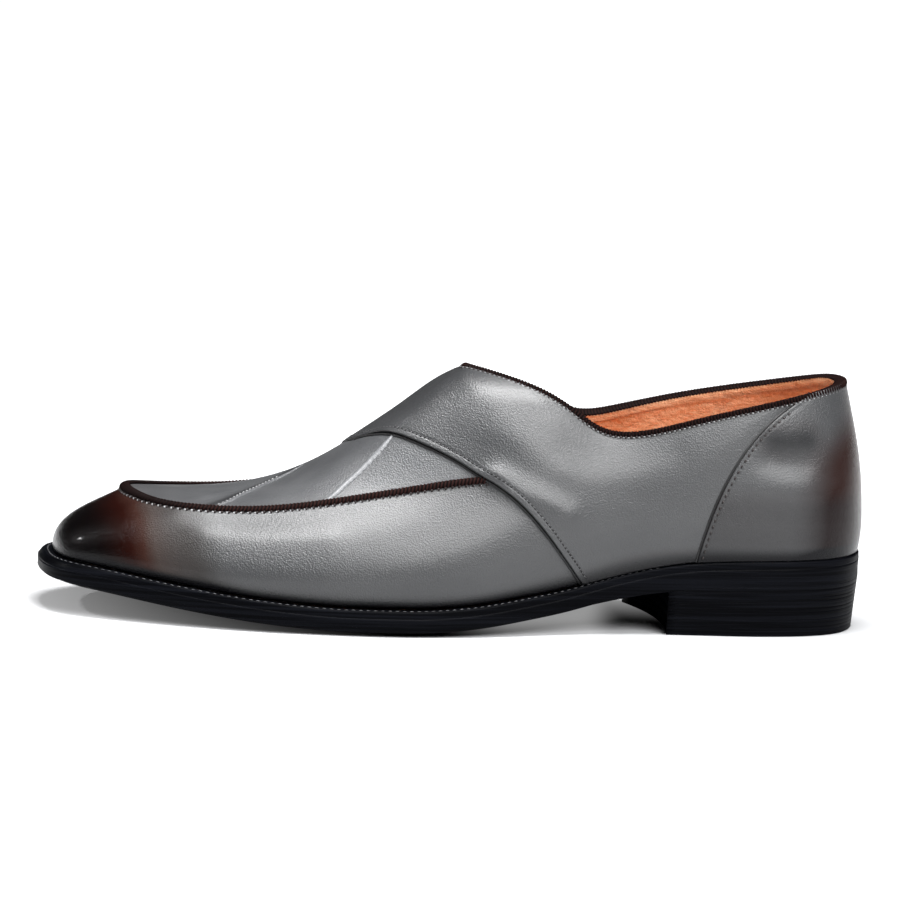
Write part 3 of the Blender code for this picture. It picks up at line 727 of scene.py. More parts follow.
def makeFootbed():
    return fixNormals(makeTube("footbed", plateRings(soleStations(footbed["steps"]), footbedProfile),
                               slot="tan_leather", replaced=("insole",)))


upper = makeUpper()
lining = makeLining()
insole = makeFootbed()
print("upper, lining and footbed ready")


# crossover panel and heel counter, cut from the same wall

panelCut = {"lift": 1.7, "under": 0.75, "round": 0.5, "stitchIn": 2.3, "stitchDip": 0.14, "holes": True,
            "rowCount": 110, "across": 130, "crowd": 2.2, "tuck": 0.35, "ink": 0.6,
            "flat": 0.4, "flatShares": (0.82, 0.98), "flatSections": (8.2, 9.4), "thin": 0.4,
            "thinEnds": (-0.1, 0.35), "sewn": (0.03, 0.985)}
counterCut = {"lift": 2.2, "under": 1.2, "round": 0.45, "stitchIn": 1.5, "stitchDip": 0.1, "holes": False,
              "rowCount": 80, "across": 110, "crowd": 2.0, "ink": 0.55, "sewn": (0.03, 0.97)}
foldedEdge = {"dipWide": 0.55, "inkUnder": (1.0, 2.0), "clear": 0.4}


def crowded(count, power):  # 0 to 1, closer together towards 1
    return 1 - (1 - np.linspace(0, 1, count)) ** power


def onSide(t, side):  # sections counted from the heel, lateral (0) or medial (1), as sections round the shoe
    return t if side == 0 else around - t


def seamLine(edge, side, lift, shares, shape=skin):
    return shape(onSide(edge(shares)[:, side], side), shares, lift)


def gapToSeam(points, edge, side, count):
    return gapToLine(points, seamLine(edge, side, 0, np.linspace(0, 1, count), plainWall))


def foldedLift(gap, cut):
    # height of the two faces of a folded edge, at a distance from the fold
    half = (cut["lift"] - cut["under"]) / 2
    arc = np.sqrt(np.clip(1 - (1 - np.clip(gap / cut["round"], 0, 1)) ** 2, 0, 1))
    dip = cut["stitchDip"] * bump((gap - cut["stitchIn"]) / foldedEdge["dipWide"])
    return cut["under"] + half + half * arc - dip, cut["under"] + half - half * arc


def edgeInkAndShade(gap, cut):  # the fold is dark underneath and up to its nose: edge dye on the nose, and painted shade under the fold
    return np.concatenate([1 - soft(gap, 0, cut["ink"]), 1 - soft(gap, *foldedEdge["inkUnder"])])


def makePanelSide(side):
    shares = np.linspace(0.0, 1, panelCut["rowCount"])
    across = crowded(panelCut["across"], panelCut["crowd"])
    seam = counterEdge(shares)[:, side]
    rear = seam - panelCut["tuck"]
    front = panelEdge(shares)[:, side]
    grid = rear[:, None] + (front - rear)[:, None] * across[None]
    t = grid.ravel()
    s = onSide(t, side)
    v = np.repeat(shares, len(across))
    gap = gapToSeam(wall(s, v), panelEdge, side, 160)
    high, low = foldedLift(gap, panelCut)
    # pressed flat towards the centre line, and thin where the counter lies over it
    flat = 1 if side else soft(v, *panelCut["flatShares"])
    press = 1 - (1 - panelCut["flat"]) * flat * soft(t, *panelCut["flatSections"])
    high, low = high * press, low * press
    thin = panelCut["thin"]
    ahead = soft(t - np.repeat(seam, len(across)), *panelCut["thinEnds"])
    high = low + thin + (high - low - thin) * ahead
    outer, inner = (skin(s, v, lift).reshape(*grid.shape, 3) for lift in (high, low))
    return outer, inner, grid[-1] >= throat, edgeInkAndShade(gap, panelCut)


def makePanel():
    lateral, medial = makePanelSide(0), makePanelSide(1)
    joined = lateral[2]
    verts, faces, ink = [], [], []
    for k in (0, 1):  # one shared line along the middle, ahead of the throat
        shared = (lateral[k][-1][joined] + medial[k][-1][joined]) / 2
        lateral[k][-1][joined] = shared
        medial[k][-1][joined] = shared
    for outer, inner, _, edge in (lateral, medial):
        faces += shellFaces(*outer.shape[:2], start=len(verts), joined=joined)
        verts += [*outer.reshape(-1, 3), *inner.reshape(-1, 3)]
        ink += [*edge]
    piece = makeObject("crossover_quarter", verts, faces, slot="grey_leather",
                       replaced=("crossover_panel",))
    paint(piece, "edge", ink)
    return fixNormals(piece)


def makeCounter():
    shares = np.linspace(0.0, 1, counterCut["rowCount"])
    half = crowded(counterCut["across"], counterCut["crowd"])
    across = np.concatenate([-half[::-1], half[1:]])
    lateral, medial = counterEdge(shares).T
    grid = np.where(across[None] < 0, medial[:, None], lateral[:, None]) * across[None]
    s = grid.ravel()
    v = np.repeat(shares, len(across))
    points = wall(s, v)
    gap = np.minimum(*(gapToSeam(points, counterEdge, side, 120) for side in (0, 1)))
    outer, inner = (skin(s, v, lift).reshape(*grid.shape, 3) for lift in foldedLift(gap, counterCut))
    piece = makeShell("heel_counter_cover", outer, inner, slot="brown_leather", replaced=("heel_counter",))
    paint(piece, "edge", edgeInkAndShade(gap, counterCut))
    return fixNormals(piece)


panel = makePanel()
counter = makeCounter()
print("panel and counter ready")


def besideSeam(edge, side, inset, lift, shares):
    # line over the wall, an inset behind a seam, with the wall's normals
    line = seamLine(edge, side, lift, shares)
    normal = wallNormal(onSide(edge(shares)[:, side], side), shares)
    back = unit(np.cross(normal, unit(np.gradient(line, axis=0))))
    toHeel = np.sign(back[:, 0].mean())
    return line + back * inset * toHeel, normal


underEdge = {"ahead": 0.3, "flat": 0.6, "sides": 10, "panelRadius": 0.55, "panelLift": 0.25,
             "counterRadius": 0.45, "counterLift": 1.35}


def makeUnderEdge(name, edge, lift, radius):  # the dark line below a folded edge: a bead for the dyed cut edge and its painted shadow
    pieces = []
    for side, word in enumerate(("lateral", "medial")):
        line, normal = besideSeam(edge, side, -underEdge["ahead"], lift, np.linspace(0.0, 1, 260))
        across = np.cross(normal, unit(np.gradient(line, axis=0)))
        rings = [line + radius * (math.cos(a) * across + underEdge["flat"] * math.sin(a) * normal)
                 for a in roundTurns(underEdge["sides"])]
        pieces.append(fixNormals(makeTube(name + "_" + word, np.stack(rings, axis=1), slot="dark_trim")))
    return pieces


underEdges = [
    *makeUnderEdge("panel_under_edge", panelEdge, underEdge["panelLift"], underEdge["panelRadius"]),
    *makeUnderEdge("counter_under_edge", counterEdge, underEdge["counterLift"], underEdge["counterRadius"]),
]
panelThread = {"pitch": 1.65, "radius": 0.2, "fill": 0.55, "lift": 0.02, "sink": 0.24}
counterThread = {"pitch": 2.4, "radius": 0.38, "fill": 0.6, "lift": 0.12, "sink": 0.15}
seamHole = {"radius": 0.52, "rim": 0.02, "rise": 0.1, "depth": 0.25, "sides": 8}


def holeRow(name, path, normals, slot):
    # a low dark dome at every stitch end, the painted shade of its hole
    verts, faces = [], []
    sides = seamHole["sides"]
    for place, normal in zip(path, normals):
        u = unit(np.cross(normal, (0.3, 0.2, 0.9)))
        w = np.cross(normal, u)
        start = len(verts)
        for a in roundTurns(sides):
            rim = seamHole["radius"] * (math.cos(a) * u + math.sin(a) * w)
            verts.append(place + rim + normal * seamHole["rim"])
        verts += [place + normal * seamHole["rise"], place - normal * seamHole["depth"]]
        for j in range(sides):
            k = (j + 1) % sides
            faces.append((start + j, start + k, start + sides))
            faces.append((start + k, start + j, start + sides + 1))
    return makeObject(name, verts, faces, slot)


def makeSeamStitches(name, piece, edge, cut, thread):
    tree = treeOf(piece)
    threads, holes = [], []
    for side, word in enumerate(("lateral", "medial")):
        shares = np.linspace(*cut["sewn"], 300)
        line, _ = besideSeam(edge, side, cut["stitchIn"], cut["lift"] + foldedEdge["clear"], shares)
        places, normals = dropOn(tree, evenly(line, thread["pitch"]))
        threads.append(stitchRow(name + "_" + word, places, normals, thread, "grey_leather"))
        if cut["holes"]:
            holes.append(holeRow(name + "_holes_" + word, places, normals, "dark_trim"))
    return threads, holes


panelStitches, panelHoles = makeSeamStitches("panel_stitches", panel, panelEdge, panelCut, panelThread)
counterStitches, _ = makeSeamStitches("counter_stitches", counter, counterEdge, counterCut, counterThread)
print("seam stitches ready")


# ribbed trim: apron piping and collar binding

piping = {"wide": 2.6, "high": 1.3, "lift": 0.3, "sides": 20, "ribPitch": 1.3, "ribSteps": 6, "rib": 0.22,
          "twist": 2, "ends": (-0.1, -0.1), "endRun": 1.2, "front": 0.45, "frontSections": (13, 15.5),
          "besideRidge": 0.03, "tooth": 2.5, "toothOut": 0.2, "glintOut": 0.35, "glintSkip": 3}
apronTooth = {"radius": 0.55, "fill": 0.5, "lift": 0.15, "sink": 0.2, "slant": 60}
apronGlint = {"radius": 0.38, "fill": 0.42, "lift": 0.08, "sink": 0.1}
binding = {"gap": 0.25, "over": 1.35, "depth": 1.6, "inside": 0.05, "rise": 0.45, "fold": 0.75,
           "innerFold": 0.15, "ribPitch": 1.2, "ribSteps": 6, "rib": 0.11, "normalAt": 0.97,
           "tooth": 1.9, "toothOut": 0.3, "glintDown": 0.25}
collarTooth = {"radius": 0.45, "fill": 0.55, "lift": 0.0, "sink": 0.1, "slant": 70}
collarGlint = {"radius": 0.28, "fill": 0.4, "lift": 0.1, "sink": 0.1}


def pipingStations(pitch):  # sections a pitch apart along the ridge, with the length up to each
    lateral, medial = panelEdge(last["ridge"])[0] + piping["ends"]
    s = np.linspace(lateral, around - medial, 900)
    length = lengthAlong(wall(s, last["ridge"]))
    where = np.linspace(0, length[-1], int(length[-1] / pitch) + 1)
    return np.interp(where, length, s), where


def pipingFrame(s):
    line = wall(s, last["ridge"])
    step = piping["besideRidge"]
    normal = unit(wallNormal(s, last["ridge"] - step) + wallNormal(s, last["ridge"] + step))
    down = unit(np.cross(normal, unit(np.gradient(line, axis=0))))
    atToe = soft(fromHeel(s), *piping["frontSections"])
    return line, normal, down, piping["wide"] * (1 + piping["front"] * atToe)  # wider round the toe


def makePiping():
    s, where = pipingStations(piping["ribPitch"] / piping["ribSteps"])
    line, normal, down, wide = pipingFrame(s)
    ends = np.sqrt(np.clip(np.minimum(where, where[-1] - where) / piping["endRun"], 0.02, 1))
    rings, ribs = [], []
    for a in roundTurns(piping["sides"]):
        rib = 1 + piping["rib"] * np.cos(where / piping["ribPitch"] * 2 * np.pi + piping["twist"] * a)
        u = math.cos(a) * wide / 2 * (0.6 + 0.4 * rib) * ends
        h = math.sin(a) * piping["high"] * (0.75 * rib if math.sin(a) > 0 else 0.5) * ends
        rings.append(line + down * u[:, None] + normal * (piping["lift"] + h)[:, None])
        ribs.append((rib - 1) / piping["rib"])
    piece = makeTube("apron_cord", np.stack(rings, axis=1), slot="dark_trim", replaced=("apron_piping",))
    paint(piece, "rib", np.stack(ribs, axis=1).ravel())
    return fixNormals(piece)


def makePipingStitches(tree):
    s, _ = pipingStations(0.4)
    line, _, down, wide = pipingFrame(s)

    def below(out, skip):
        path = (line + down * (wide * 0.5 + out)[:, None])[skip:]
        return dropOn(tree, evenly(path, piping["tooth"]))

    # teeth that hold the lower edge of the cord down, and pale specks between two of them: a painted
    # highlight on the leather below the cord
    places, normals = below(piping["toothOut"], 0)
    teeth = stitchRow("apron_stitches", places, normals, apronTooth, "dark_trim")
    places, normals = below(piping["glintOut"], piping["glintSkip"])
    between = (places[:-1] + places[1:]) / 2
    return teeth, stitchRow("apron_glints", between, normals[:-1], apronGlint, "grey_leather")


def squareTo(run, normal):
    return unit(normal - run * np.sum(normal * run, axis=1)[:, None])


def rimFrame(s):
    top = topRail(s)
    run = unit(np.roll(top, -1, axis=0) - np.roll(top, 1, axis=0))
    normal = squareTo(run, wallNormal(s, binding["normalAt"]))
    for _ in range(6):  # evens out the turn at the throat
        normal = unit(np.roll(normal, 1, axis=0) + normal + np.roll(normal, -1, axis=0))
    normal = squareTo(run, normal)
    return top, normal, np.cross(run, normal)


def rimStations():  # sections round the opening, a few to each rib, with the ribs up to each
    side = np.linspace(0, throat, 500)
    back = side[-2::-1]
    length = lengthAlong(topRail(np.concatenate([side, -back])))
    count = int(round(length[-1] / binding["ribPitch"])) * binding["ribSteps"]
    where = np.linspace(0, length[-1], count, endpoint=False)
    at = np.interp(where, length, np.concatenate([side, 2 * throat - back]))
    return np.where(at <= throat, at, at - 2 * throat), np.arange(count) / binding["ribSteps"]


def makeBinding():
    s, ribs = rimStations()
    top, normal, rise = rimFrame(s)
    rib = 1 + binding["rib"] * np.cos(ribs * 2 * np.pi)
    outer, inner = binding["gap"] + binding["over"], -liningCut["inner"]
    fold, deep, inside, high = binding["fold"], binding["depth"], binding["inside"], binding["rise"]
    middle, thin = (outer + inner) / 2, binding["innerFold"]
    # out from the wall, up from its rim: round the outer fold, over the rim and round the thin inner fold
    shape = [(outer, -deep), (outer + 0.5 * fold, -deep - 0.15), (outer + 0.95 * fold, -deep + 0.4),
             (outer + fold, -0.3), (outer + 0.8 * fold, 0.45 * high), (outer + 0.2 * fold, 0.85 * high),
             (middle, high), (inner - 0.2 * thin, 0.85 * high), (inner - 0.8 * thin, 0.45 * high),
             (inner - thin, 0.15), (inner - 0.95 * thin, -inside + 0.1),
             (inner - 0.5 * thin, -inside - 0.1), (inner, -inside), (inner, 0.1), (outer, 0.1)]
    rings = []
    for a, b in shape:
        swell = rib if abs(a - middle) > (outer - inner) / 2 or b > 0.2 else 1
        rings.append(top + normal * np.reshape(middle + (a - middle) * swell, (-1, 1))
                     + rise * np.reshape(b * (swell if b > 0 else 1), (-1, 1)))
    piece = makeTube("collar_tape", np.stack(rings, axis=1), closed=True, slot="dark_trim",
                     replaced=("collar_binding",))
    paint(piece, "rib", np.repeat((rib - 1) / binding["rib"], len(shape)))
    return fixNormals(piece)


def makeBindingTeeth():
    s, _ = rimStations()
    top, normal, rise = rimFrame(s)
    out = binding["toothOut"]
    edge = top + normal * (binding["gap"] + binding["over"] + out) - rise * (binding["depth"] + out)
    count = int(lengthAlong(edge)[-1] / binding["tooth"])
    at = np.linspace(0, len(edge) - 1, 2 * count + 1).astype(int)
    tooth, glint = at[::2], at[1::2]
    teeth = stitchRow("collar_stitches", edge[tooth], normal[tooth], collarTooth, "dark_trim")
    # pale specks below the tape, between the teeth: a painted highlight on the leather under the collar
    lower = edge - rise * binding["glintDown"]
    return teeth, stitchRow("collar_glints", lower[glint], normal[glint], collarGlint, "grey_leather")


upperTree = treeOf(upper)
apronCord = makePiping()
apronStitches, apronGlints = makePipingStitches(upperTree)
collarTape = makeBinding()
collarStitches, collarGlints = makeBindingTeeth()
print("trim ready")


# the two slanting tucks of the apron, seen from above

# pale: how much lighter the fold's grey is painted, a painted highlight along its crest
tucks = {
    "pleat_front": {"plan": [(240.5, -23), (233.6, -17.3), (229.9, -12.9), (223.7, -5.6), (218.4, 0.9),
                             (212.5, 6), (204, 12)],
                    "wide": 2.2, "high": 0.7, "stitched": 0.8, "pale": 2.4, "ragged": 0},
    "pleat_rear": {"plan": [(202.5, -29.6), (198.1, -27.6), (194, -24.9), (189.8, -22.8), (183.7, -19.8),
                            (179.5, -17.7), (175.8, -15.4)],
                   "wide": 2.4, "high": 0.8, "stitched": 0, "pale": 4.5, "ragged": 0.3},
}
tuckMesh = {"steps": 90, "endSteps": 18, "across": 17, "below": 5, "sunk": 0.12, "depth": 0.5}
tuckThread = {"skip": 3, "pitch": 2.0, "radius": 0.34, "fill": 0.6, "lift": 0.06, "sink": 0.15}


def makeTuck(name, tuck, tree):
    steps = np.arange(tuckMesh["steps"])
    line = smoothCurve(range(len(tuck["plan"])), [plan(*point) for point in tuck["plan"]])
    path, normals = [], []
    for x, y in line(np.linspace(0, len(tuck["plan"]) - 1, len(steps))):
        place, normal, _, _ = tree.ray_cast(Vector((x, y, 200)) * mm, Vector((0, 0, -1)))
        path.append(np.array(place) / mm)
        normals.append(np.array(normal))
    path, normals = np.array(path), unit(np.array(normals))
    across = unit(np.cross(normals, unit(np.gradient(path, axis=0))))
    ends = np.sqrt(np.clip(np.minimum(steps, steps[::-1]) / tuckMesh["endSteps"], 0.02, 1))
    half = tuck["wide"] / 2 * ends
    rings = []
    for u in np.linspace(-1, 1, tuckMesh["across"]):
        h = tuck["high"] * (1 - u * u) ** 0.75 - tuckMesh["sunk"]
        frayed = 1 + tuck["ragged"] * np.sin(steps * 2.1 + 2 * u) * np.sin(steps * 0.7 + 1)
        rings.append(path + across * (u * half * frayed)[:, None] + normals * (h * ends)[:, None])
    for u in np.linspace(0.8, -0.8, tuckMesh["below"]):
        rings.append(path + across * (u * half)[:, None] - normals * tuckMesh["depth"])
    piece = fixNormals(makeTube(name + "_fold", np.stack(rings, axis=1), slot="grey_leather",
                                replaced=(name,)))
    threads = None
    if tuck["stitched"]:
        final = int(len(steps) * tuck["stitched"])
        crest = (path + normals * tuck["high"])[tuckThread["skip"]:final]
        places, ups = dropOn(treeOf(piece), evenly(crest, tuckThread["pitch"]))
        threads = stitchRow(name + "_stitches", places, ups, tuckThread, "grey_leather")
    return piece, threads


pleats = [makeTuck(name, tuck, upperTree) for name, tuck in tucks.items()]
print("tucks ready")


# finishes

class Value:  # wraps a socket so that sums read as Python
    def __init__(self, finish, socket):
        self.finish, self.socket = finish, socket

    def maths(self, operation, *others):
        values = {i: value for i, value in enumerate((self, *others))}
        return self.finish.add("ShaderNodeMath", {"operation": operation}, values)["Value"]

    def __add__(self, other):
        return self.maths("ADD", other)

    def __sub__(self, other):
        return self.maths("SUBTRACT", other)

    def __rsub__(self, other):
        return self.finish.add("ShaderNodeMath", {"operation": "SUBTRACT"}, {0: other, 1: self})["Value"]

    def __mul__(self, other):
        return self.maths("MULTIPLY", other)

    __radd__ = __add__
    __rmul__ = __mul__


class Outputs:
    def __init__(self, finish, node):
        self.finish, self.node = finish, node

    def __getitem__(self, name):
        return Value(self.finish, self.node.outputs[name])


class Finish:
    def __init__(self, name):
        self.material = bpy.data.materials.new(name)
        self.material.use_nodes = True
        self.tree = self.material.node_tree
        self.shader = self.tree.nodes["Principled BSDF"]
        self.place = self.add("ShaderNodeTexCoord")["Object"]

    def add(self, kind, settings=None, sockets=None):
        node = self.tree.nodes.new(kind)
        for key, value in (settings or {}).items():
            if key == "stops":
                ramp = node.color_ramp.elements
                while len(ramp) < len(value):
                    ramp.new(0.5)
                for stop, (at, colour) in zip(ramp, value):
                    stop.position = at
                    stop.color = (*colour, 1)
            else:
                setattr(node, key, value)
        for key, value in (sockets or {}).items():
            self.link(node.inputs[key], value)
        return Outputs(self, node)

    def link(self, socket, value):
        if isinstance(value, Value):
            self.tree.links.new(value.socket, socket)
        else:
            socket.default_value = value

    def set(self, **sockets):
        for key, value in sockets.items():
            self.link(self.shader.inputs[key.replace("_", " ")], value)

    def range(self, value, low, high, start=0.0, end=1.0):
        return self.add("ShaderNodeMapRange", {"interpolation_type": "SMOOTHSTEP"},
                        {"Value": value, "From Min": low, "From Max": high,
                         "To Min": start, "To Max": end})["Result"]

    def noise(self, scale, detail=3.0, rough=0.5, vector=None):
        return self.add("ShaderNodeTexNoise", {}, {"Vector": vector or self.place, "Scale": scale,
                                                   "Detail": detail, "Roughness": rough})["Fac"]

    def drawn(self, scales, detail, rough):  # noise drawn out along an axis
        vector = self.add("ShaderNodeVectorMath", {"operation": "MULTIPLY"}, {0: self.place, 1: scales})
        return self.noise(1.0, detail, rough, vector["Vector"])

    def painted(self, name):
        return self.add("ShaderNodeAttribute", {"attribute_name": name})["Fac"]

    def axes(self):
        part = self.add("ShaderNodeSeparateXYZ", {}, {0: self.place})
        return part["X"], part["Y"], part["Z"]

    def mix(self, factor, first, second):
        return self.add("ShaderNodeMix", {"data_type": "RGBA"}, {0: factor, 6: first, 7: second})[2]

    def cover(self, factor, layer):  # a second surface over the first
        first = Value(self, self.shader.outputs[0])
        both = self.add("ShaderNodeMixShader", {}, {0: factor, 1: first, 2: layer})
        self.link(self.tree.nodes["Material Output"].inputs["Surface"], both["Shader"])

    def distance(self, point):
        return self.add("ShaderNodeVectorMath", {"operation": "DISTANCE"}, {0: self.place, 1: point})["Value"]

    def bumped(self, height, distance, strength):
        return self.add("ShaderNodeBump", {}, {"Height": height, "Distance": distance,
                                               "Strength": strength})["Normal"]


def rgb(r, g, b):
    return (r, g, b, 1.0)


def shade(colour, share):
    return rgb(*(share * c for c in colour[:3]))


even, narrow = (0.3, 0.7), (0.35, 0.65)  # the part of a noise that carries a change


leather = {
    # apron: how much lighter the apron's grey is painted, a painted sheen
    "grey": rgb(0.037, 0.038, 0.040), "greyLight": rgb(0.046, 0.047, 0.049), "apron": 1.8,
    "burnish": [(0.0, (0.0012, 0.0007, 0.0008)), (0.26, (0.012, 0.0024, 0.0015)),
                (0.42, (0.029, 0.012, 0.0090)), (0.6, (0.042, 0.032, 0.029)),
                (0.8, (0.036, 0.032, 0.031)), (1.0, (0.033, 0.031, 0.030))],
    # heel burnish colour, then the dark colour of painted shade
    "heelBrown": rgb(0.017, 0.0062, 0.0048), "dye": rgb(0.005, 0.005, 0.006),
    "roughness": (0.33, 0.39), "coat": 0.25, "coatRoughness": 0.27, "specular": 0.5,
    "grain": 0.00031, "grainStrength": 0.8, "cloud": 18.0, "blotch": 70.0,
    "pores": 1500.0, "poreShare": 0.45, "fineGrain": 2300.0, "fineShare": 0.7,
    "wideGrain": 420.0, "wideShare": 0.10,
    # burnish, in metres: the shoe's half length, and how far in from the toe or the heel it reaches
    "half": 0.150, "toeRamp": (0.013, 0.055), "toeFade": (0.062, 0.045), "apronClear": 0.87,
    "toeZ": 0.040, "toeSlant": 0.30, "toeCloud": 0.010, "toeBlotch": 0.005,
    "heelFade": (0.034, 0.012), "heelCover": 0.97, "heelFoot": (0.020, 0.030), "heelCloud": 0.008,
    "collarFade": (0.060, 0.084), "collarShift": 0.02, "heelPart": (0.05, 0.06),
    # how much painted shade dulls the sheen, and where it is full
    "dyeCover": 0.85, "dyeFull": 0.5,
    "polish": {"Roughness": 0.24, "Specular IOR Level": 0.08, "Coat Weight": 0.12, "Coat Roughness": 0.16},
}


def makeLeather(name, pale=1.0):
    f = Finish(name)
    x, _, z = f.axes()
    cloud = f.noise(leather["cloud"], 4.0)
    blotch = f.noise(leather["blotch"])
    apron, dye = f.painted("apron"), f.painted("dye")

    def greys(share):
        return shade(leather["grey"], share), shade(leather["greyLight"], share)

    # pale makes the whole grey lighter, for the painted highlight of the tuck folds
    colour = f.mix(f.range(cloud, *narrow), *greys(pale))
    # the apron, which faces up, painted lighter: a painted sheen
    colour = f.mix(apron, colour, f.mix(f.range(blotch, *even), *greys(pale * leather["apron"])))
    # painted shade, and the edge dye and shade of the folds, darken the grey
    colour = f.mix(dye + f.painted("edge"), colour, leather["dye"])
    pores = f.add("ShaderNodeTexVoronoi", {"feature": "F1"}, {"Vector": f.place, "Scale": leather["pores"]})
    height = pores["Distance"] * leather["poreShare"] + f.noise(leather["fineGrain"]) * leather["fineShare"]
    height = height + f.noise(leather["wideGrain"]) * leather["wideShare"]
    normal = f.bumped(height, leather["grain"], leather["grainStrength"])
    f.set(Base_Color=colour, Normal=normal, Roughness=f.range(cloud, *even, *leather["roughness"]),
          Coat_Weight=leather["coat"], Coat_Roughness=leather["coatRoughness"],
          Specular_IOR_Level=leather["specular"])
    # burnished toe outside the apron, black at the tip, then brown; brown back, fading up to the collar;
    # painted shade also darkens the colour and dulls the sheen where it lies
    half = leather["half"]
    toeReach = x + half + (z - leather["toeZ"]) * leather["toeSlant"]
    toeReach = toeReach + (cloud - 0.5) * leather["toeCloud"] + (blotch - 0.5) * leather["toeBlotch"]
    heelReach = half - x + (cloud - 0.5) * leather["heelCloud"]
    heelReach = heelReach + f.range(z, *leather["collarFade"], 0.0, leather["collarShift"])
    burnt = f.add("ShaderNodeValToRGB", {"stops": leather["burnish"]},
                  {0: f.range(toeReach, *leather["toeRamp"])})["Color"]
    burnt = f.mix(f.range(x, *leather["heelPart"]), burnt, leather["heelBrown"])
    burnt = f.mix(f.range(dye, 0.0, leather["dyeFull"]), burnt, leather["dye"])
    polish = {"Base Color": burnt, "Normal": normal, **leather["polish"]}
    polished = f.add("ShaderNodeBsdfPrincipled", {}, polish)["BSDF"]
    onToe = f.range(toeReach, *leather["toeFade"]) * (1 - apron * leather["apronClear"])
    onHeel = f.range(heelReach, *leather["heelFade"], 0.0, leather["heelCover"])
    onHeel = onHeel * f.range(z, *leather["heelFoot"])
    f.cover(onToe + onHeel + dye * leather["dyeCover"], polished)
    return f.material


trim = {"brown": rgb(0.026, 0.0105, 0.0092), "dark": rgb(0.0030, 0.0020, 0.0020),
        "toe": rgb(0.0035, 0.0018, 0.0018), "toeFade": (-0.085, -0.112), "toeShare": 0.8,
        "roughness": (0.5, 0.7), "specular": 0.035,
        "fuzz": 1500.0, "fuzzDepth": 0.00008, "fuzzStrength": 0.7, "worn": 260.0, "wornShare": 0.8,
        "ribRange": (-0.4, 1.2)}


def makeTrim(name, share):
    f = Finish(name)
    brown, dark, toeDark = (shade(trim[k], share) for k in ("brown", "dark", "toe"))
    x, _, _ = f.axes()
    fuzz = f.noise(trim["fuzz"])
    # dark between the ribs, brown on their tops: painted shade in the grooves
    high = f.painted("rib") + f.noise(trim["worn"]) * trim["wornShare"]
    colour = f.mix(f.range(high, *trim["ribRange"]), dark, brown)
    colour = f.mix(f.range(x, *trim["toeFade"], 0.0, trim["toeShare"]), colour, toeDark)
    f.set(Base_Color=colour, Roughness=f.range(fuzz, *even, *trim["roughness"]),
          Normal=f.bumped(fuzz, trim["fuzzDepth"], trim["fuzzStrength"]), Specular_IOR_Level=trim["specular"])
    return f.material


# deep: the colour of painted shade in the lining's wrinkles and seams
tan = {"tan": rgb(0.70, 0.28, 0.12), "light": rgb(0.86, 0.44, 0.24), "deep": rgb(0.36, 0.105, 0.040),
       "cloud": 45.0, "grain": 900.0, "grainShare": 0.1, "roughness": (0.5, 0.7), "seamShare": 0.8,
       "wrinkle": (250.0, 250.0, 400.0), "wrinkleDark": (0.50, 0.30), "wrinkleShare": 0.5,
       "wrinkleDepth": 0.0022, "wrinkleStrength": 0.9}


def makeTan(name):
    f = Finish(name)
    cloud = f.noise(tan["cloud"], 4.0)
    grain = f.noise(tan["grain"], 4.0)
    wrinkle = f.drawn(tan["wrinkle"], 6.0, 0.65)
    colour = f.mix(f.range(cloud, *even), tan["tan"], tan["light"])
    # painted shade in the hollows of the wrinkles
    creaseShade = f.range(wrinkle, *tan["wrinkleDark"], 0.0, tan["wrinkleShare"])
    colour = f.mix(creaseShade, colour, tan["deep"])
    # painted shade along the lining's bead and seam
    colour = f.mix(f.painted("seam") * tan["seamShare"], colour, tan["deep"])
    f.set(Base_Color=colour, Roughness=f.range(grain, *even, *tan["roughness"]),
          Normal=f.bumped(grain * tan["grainShare"] + wrinkle, tan["wrinkleDepth"], tan["wrinkleStrength"]))
    return f.material


rubber = {"black": rgb(0.0012, 0.0013, 0.0019), "grey": rgb(0.0040, 0.0044, 0.0062),
          "lines": (14.0, 14.0, 900.0), "lineGrey": (0.40, 0.66), "lineDepth": 0.0002, "lineStrength": 0.6,
          "cloud": 90.0, "roughness": (0.40, 0.50), "specular": 0.025, "mattRoughness": 0.6}


def makeRubber(name):
    f = Finish(name)
    cloud = f.noise(rubber["cloud"], 4.0)
    brushed = f.drawn(rubber["lines"], 3.0, 0.6)
    colour = f.mix(f.range(brushed, *rubber["lineGrey"]), rubber["black"], rubber["grey"])
    f.set(Base_Color=colour, Roughness=f.range(cloud, *even, *rubber["roughness"]),
          Normal=f.bumped(brushed, rubber["lineDepth"], rubber["lineStrength"]),
          Specular_IOR_Level=rubber["specular"])
    # the heel's front face is matt
    matt = f.add("ShaderNodeBsdfDiffuse", {}, {"Color": colour, "Roughness": rubber["mattRoughness"]})
    f.cover(f.painted("breast"), matt["BSDF"])
    return f.material


yarn = {"twist": 2200.0, "roughness": (0.45, 0.65)}


def makeThread(name, light, dark):
    f = Finish(name)
    twist = f.noise(yarn["twist"], 2.0)
    f.set(Base_Color=f.mix(f.range(twist, *narrow), light, dark),
          Roughness=f.range(twist, *even, *yarn["roughness"]))
    return f.material


def wear(material, *pieces):
    for piece in pieces:
        piece.data.materials.clear()
        piece.data.materials.append(material)


# painted shade, darkening the leather: the lowest strip above the welt, higher at the waist; beside the front
# tuck; on the counter
shadePaint = {"strength": 0.85, "high": 6.0, "waistHigh": 3.5, "waistP": 95, "waistRun": 35,
        "tuckStrength": 0.5, "tuckShift": 1.6, "tuckWide": 1.8, "tuckAbove": 8,
        "patchStrength": 0.55, "patchWide": 5.5, "patch": [(3.0, 0.86), (2.75, 0.85), (2.5, 0.85)],
        "footStrength": 0.3, "footFade": (46, 58)}


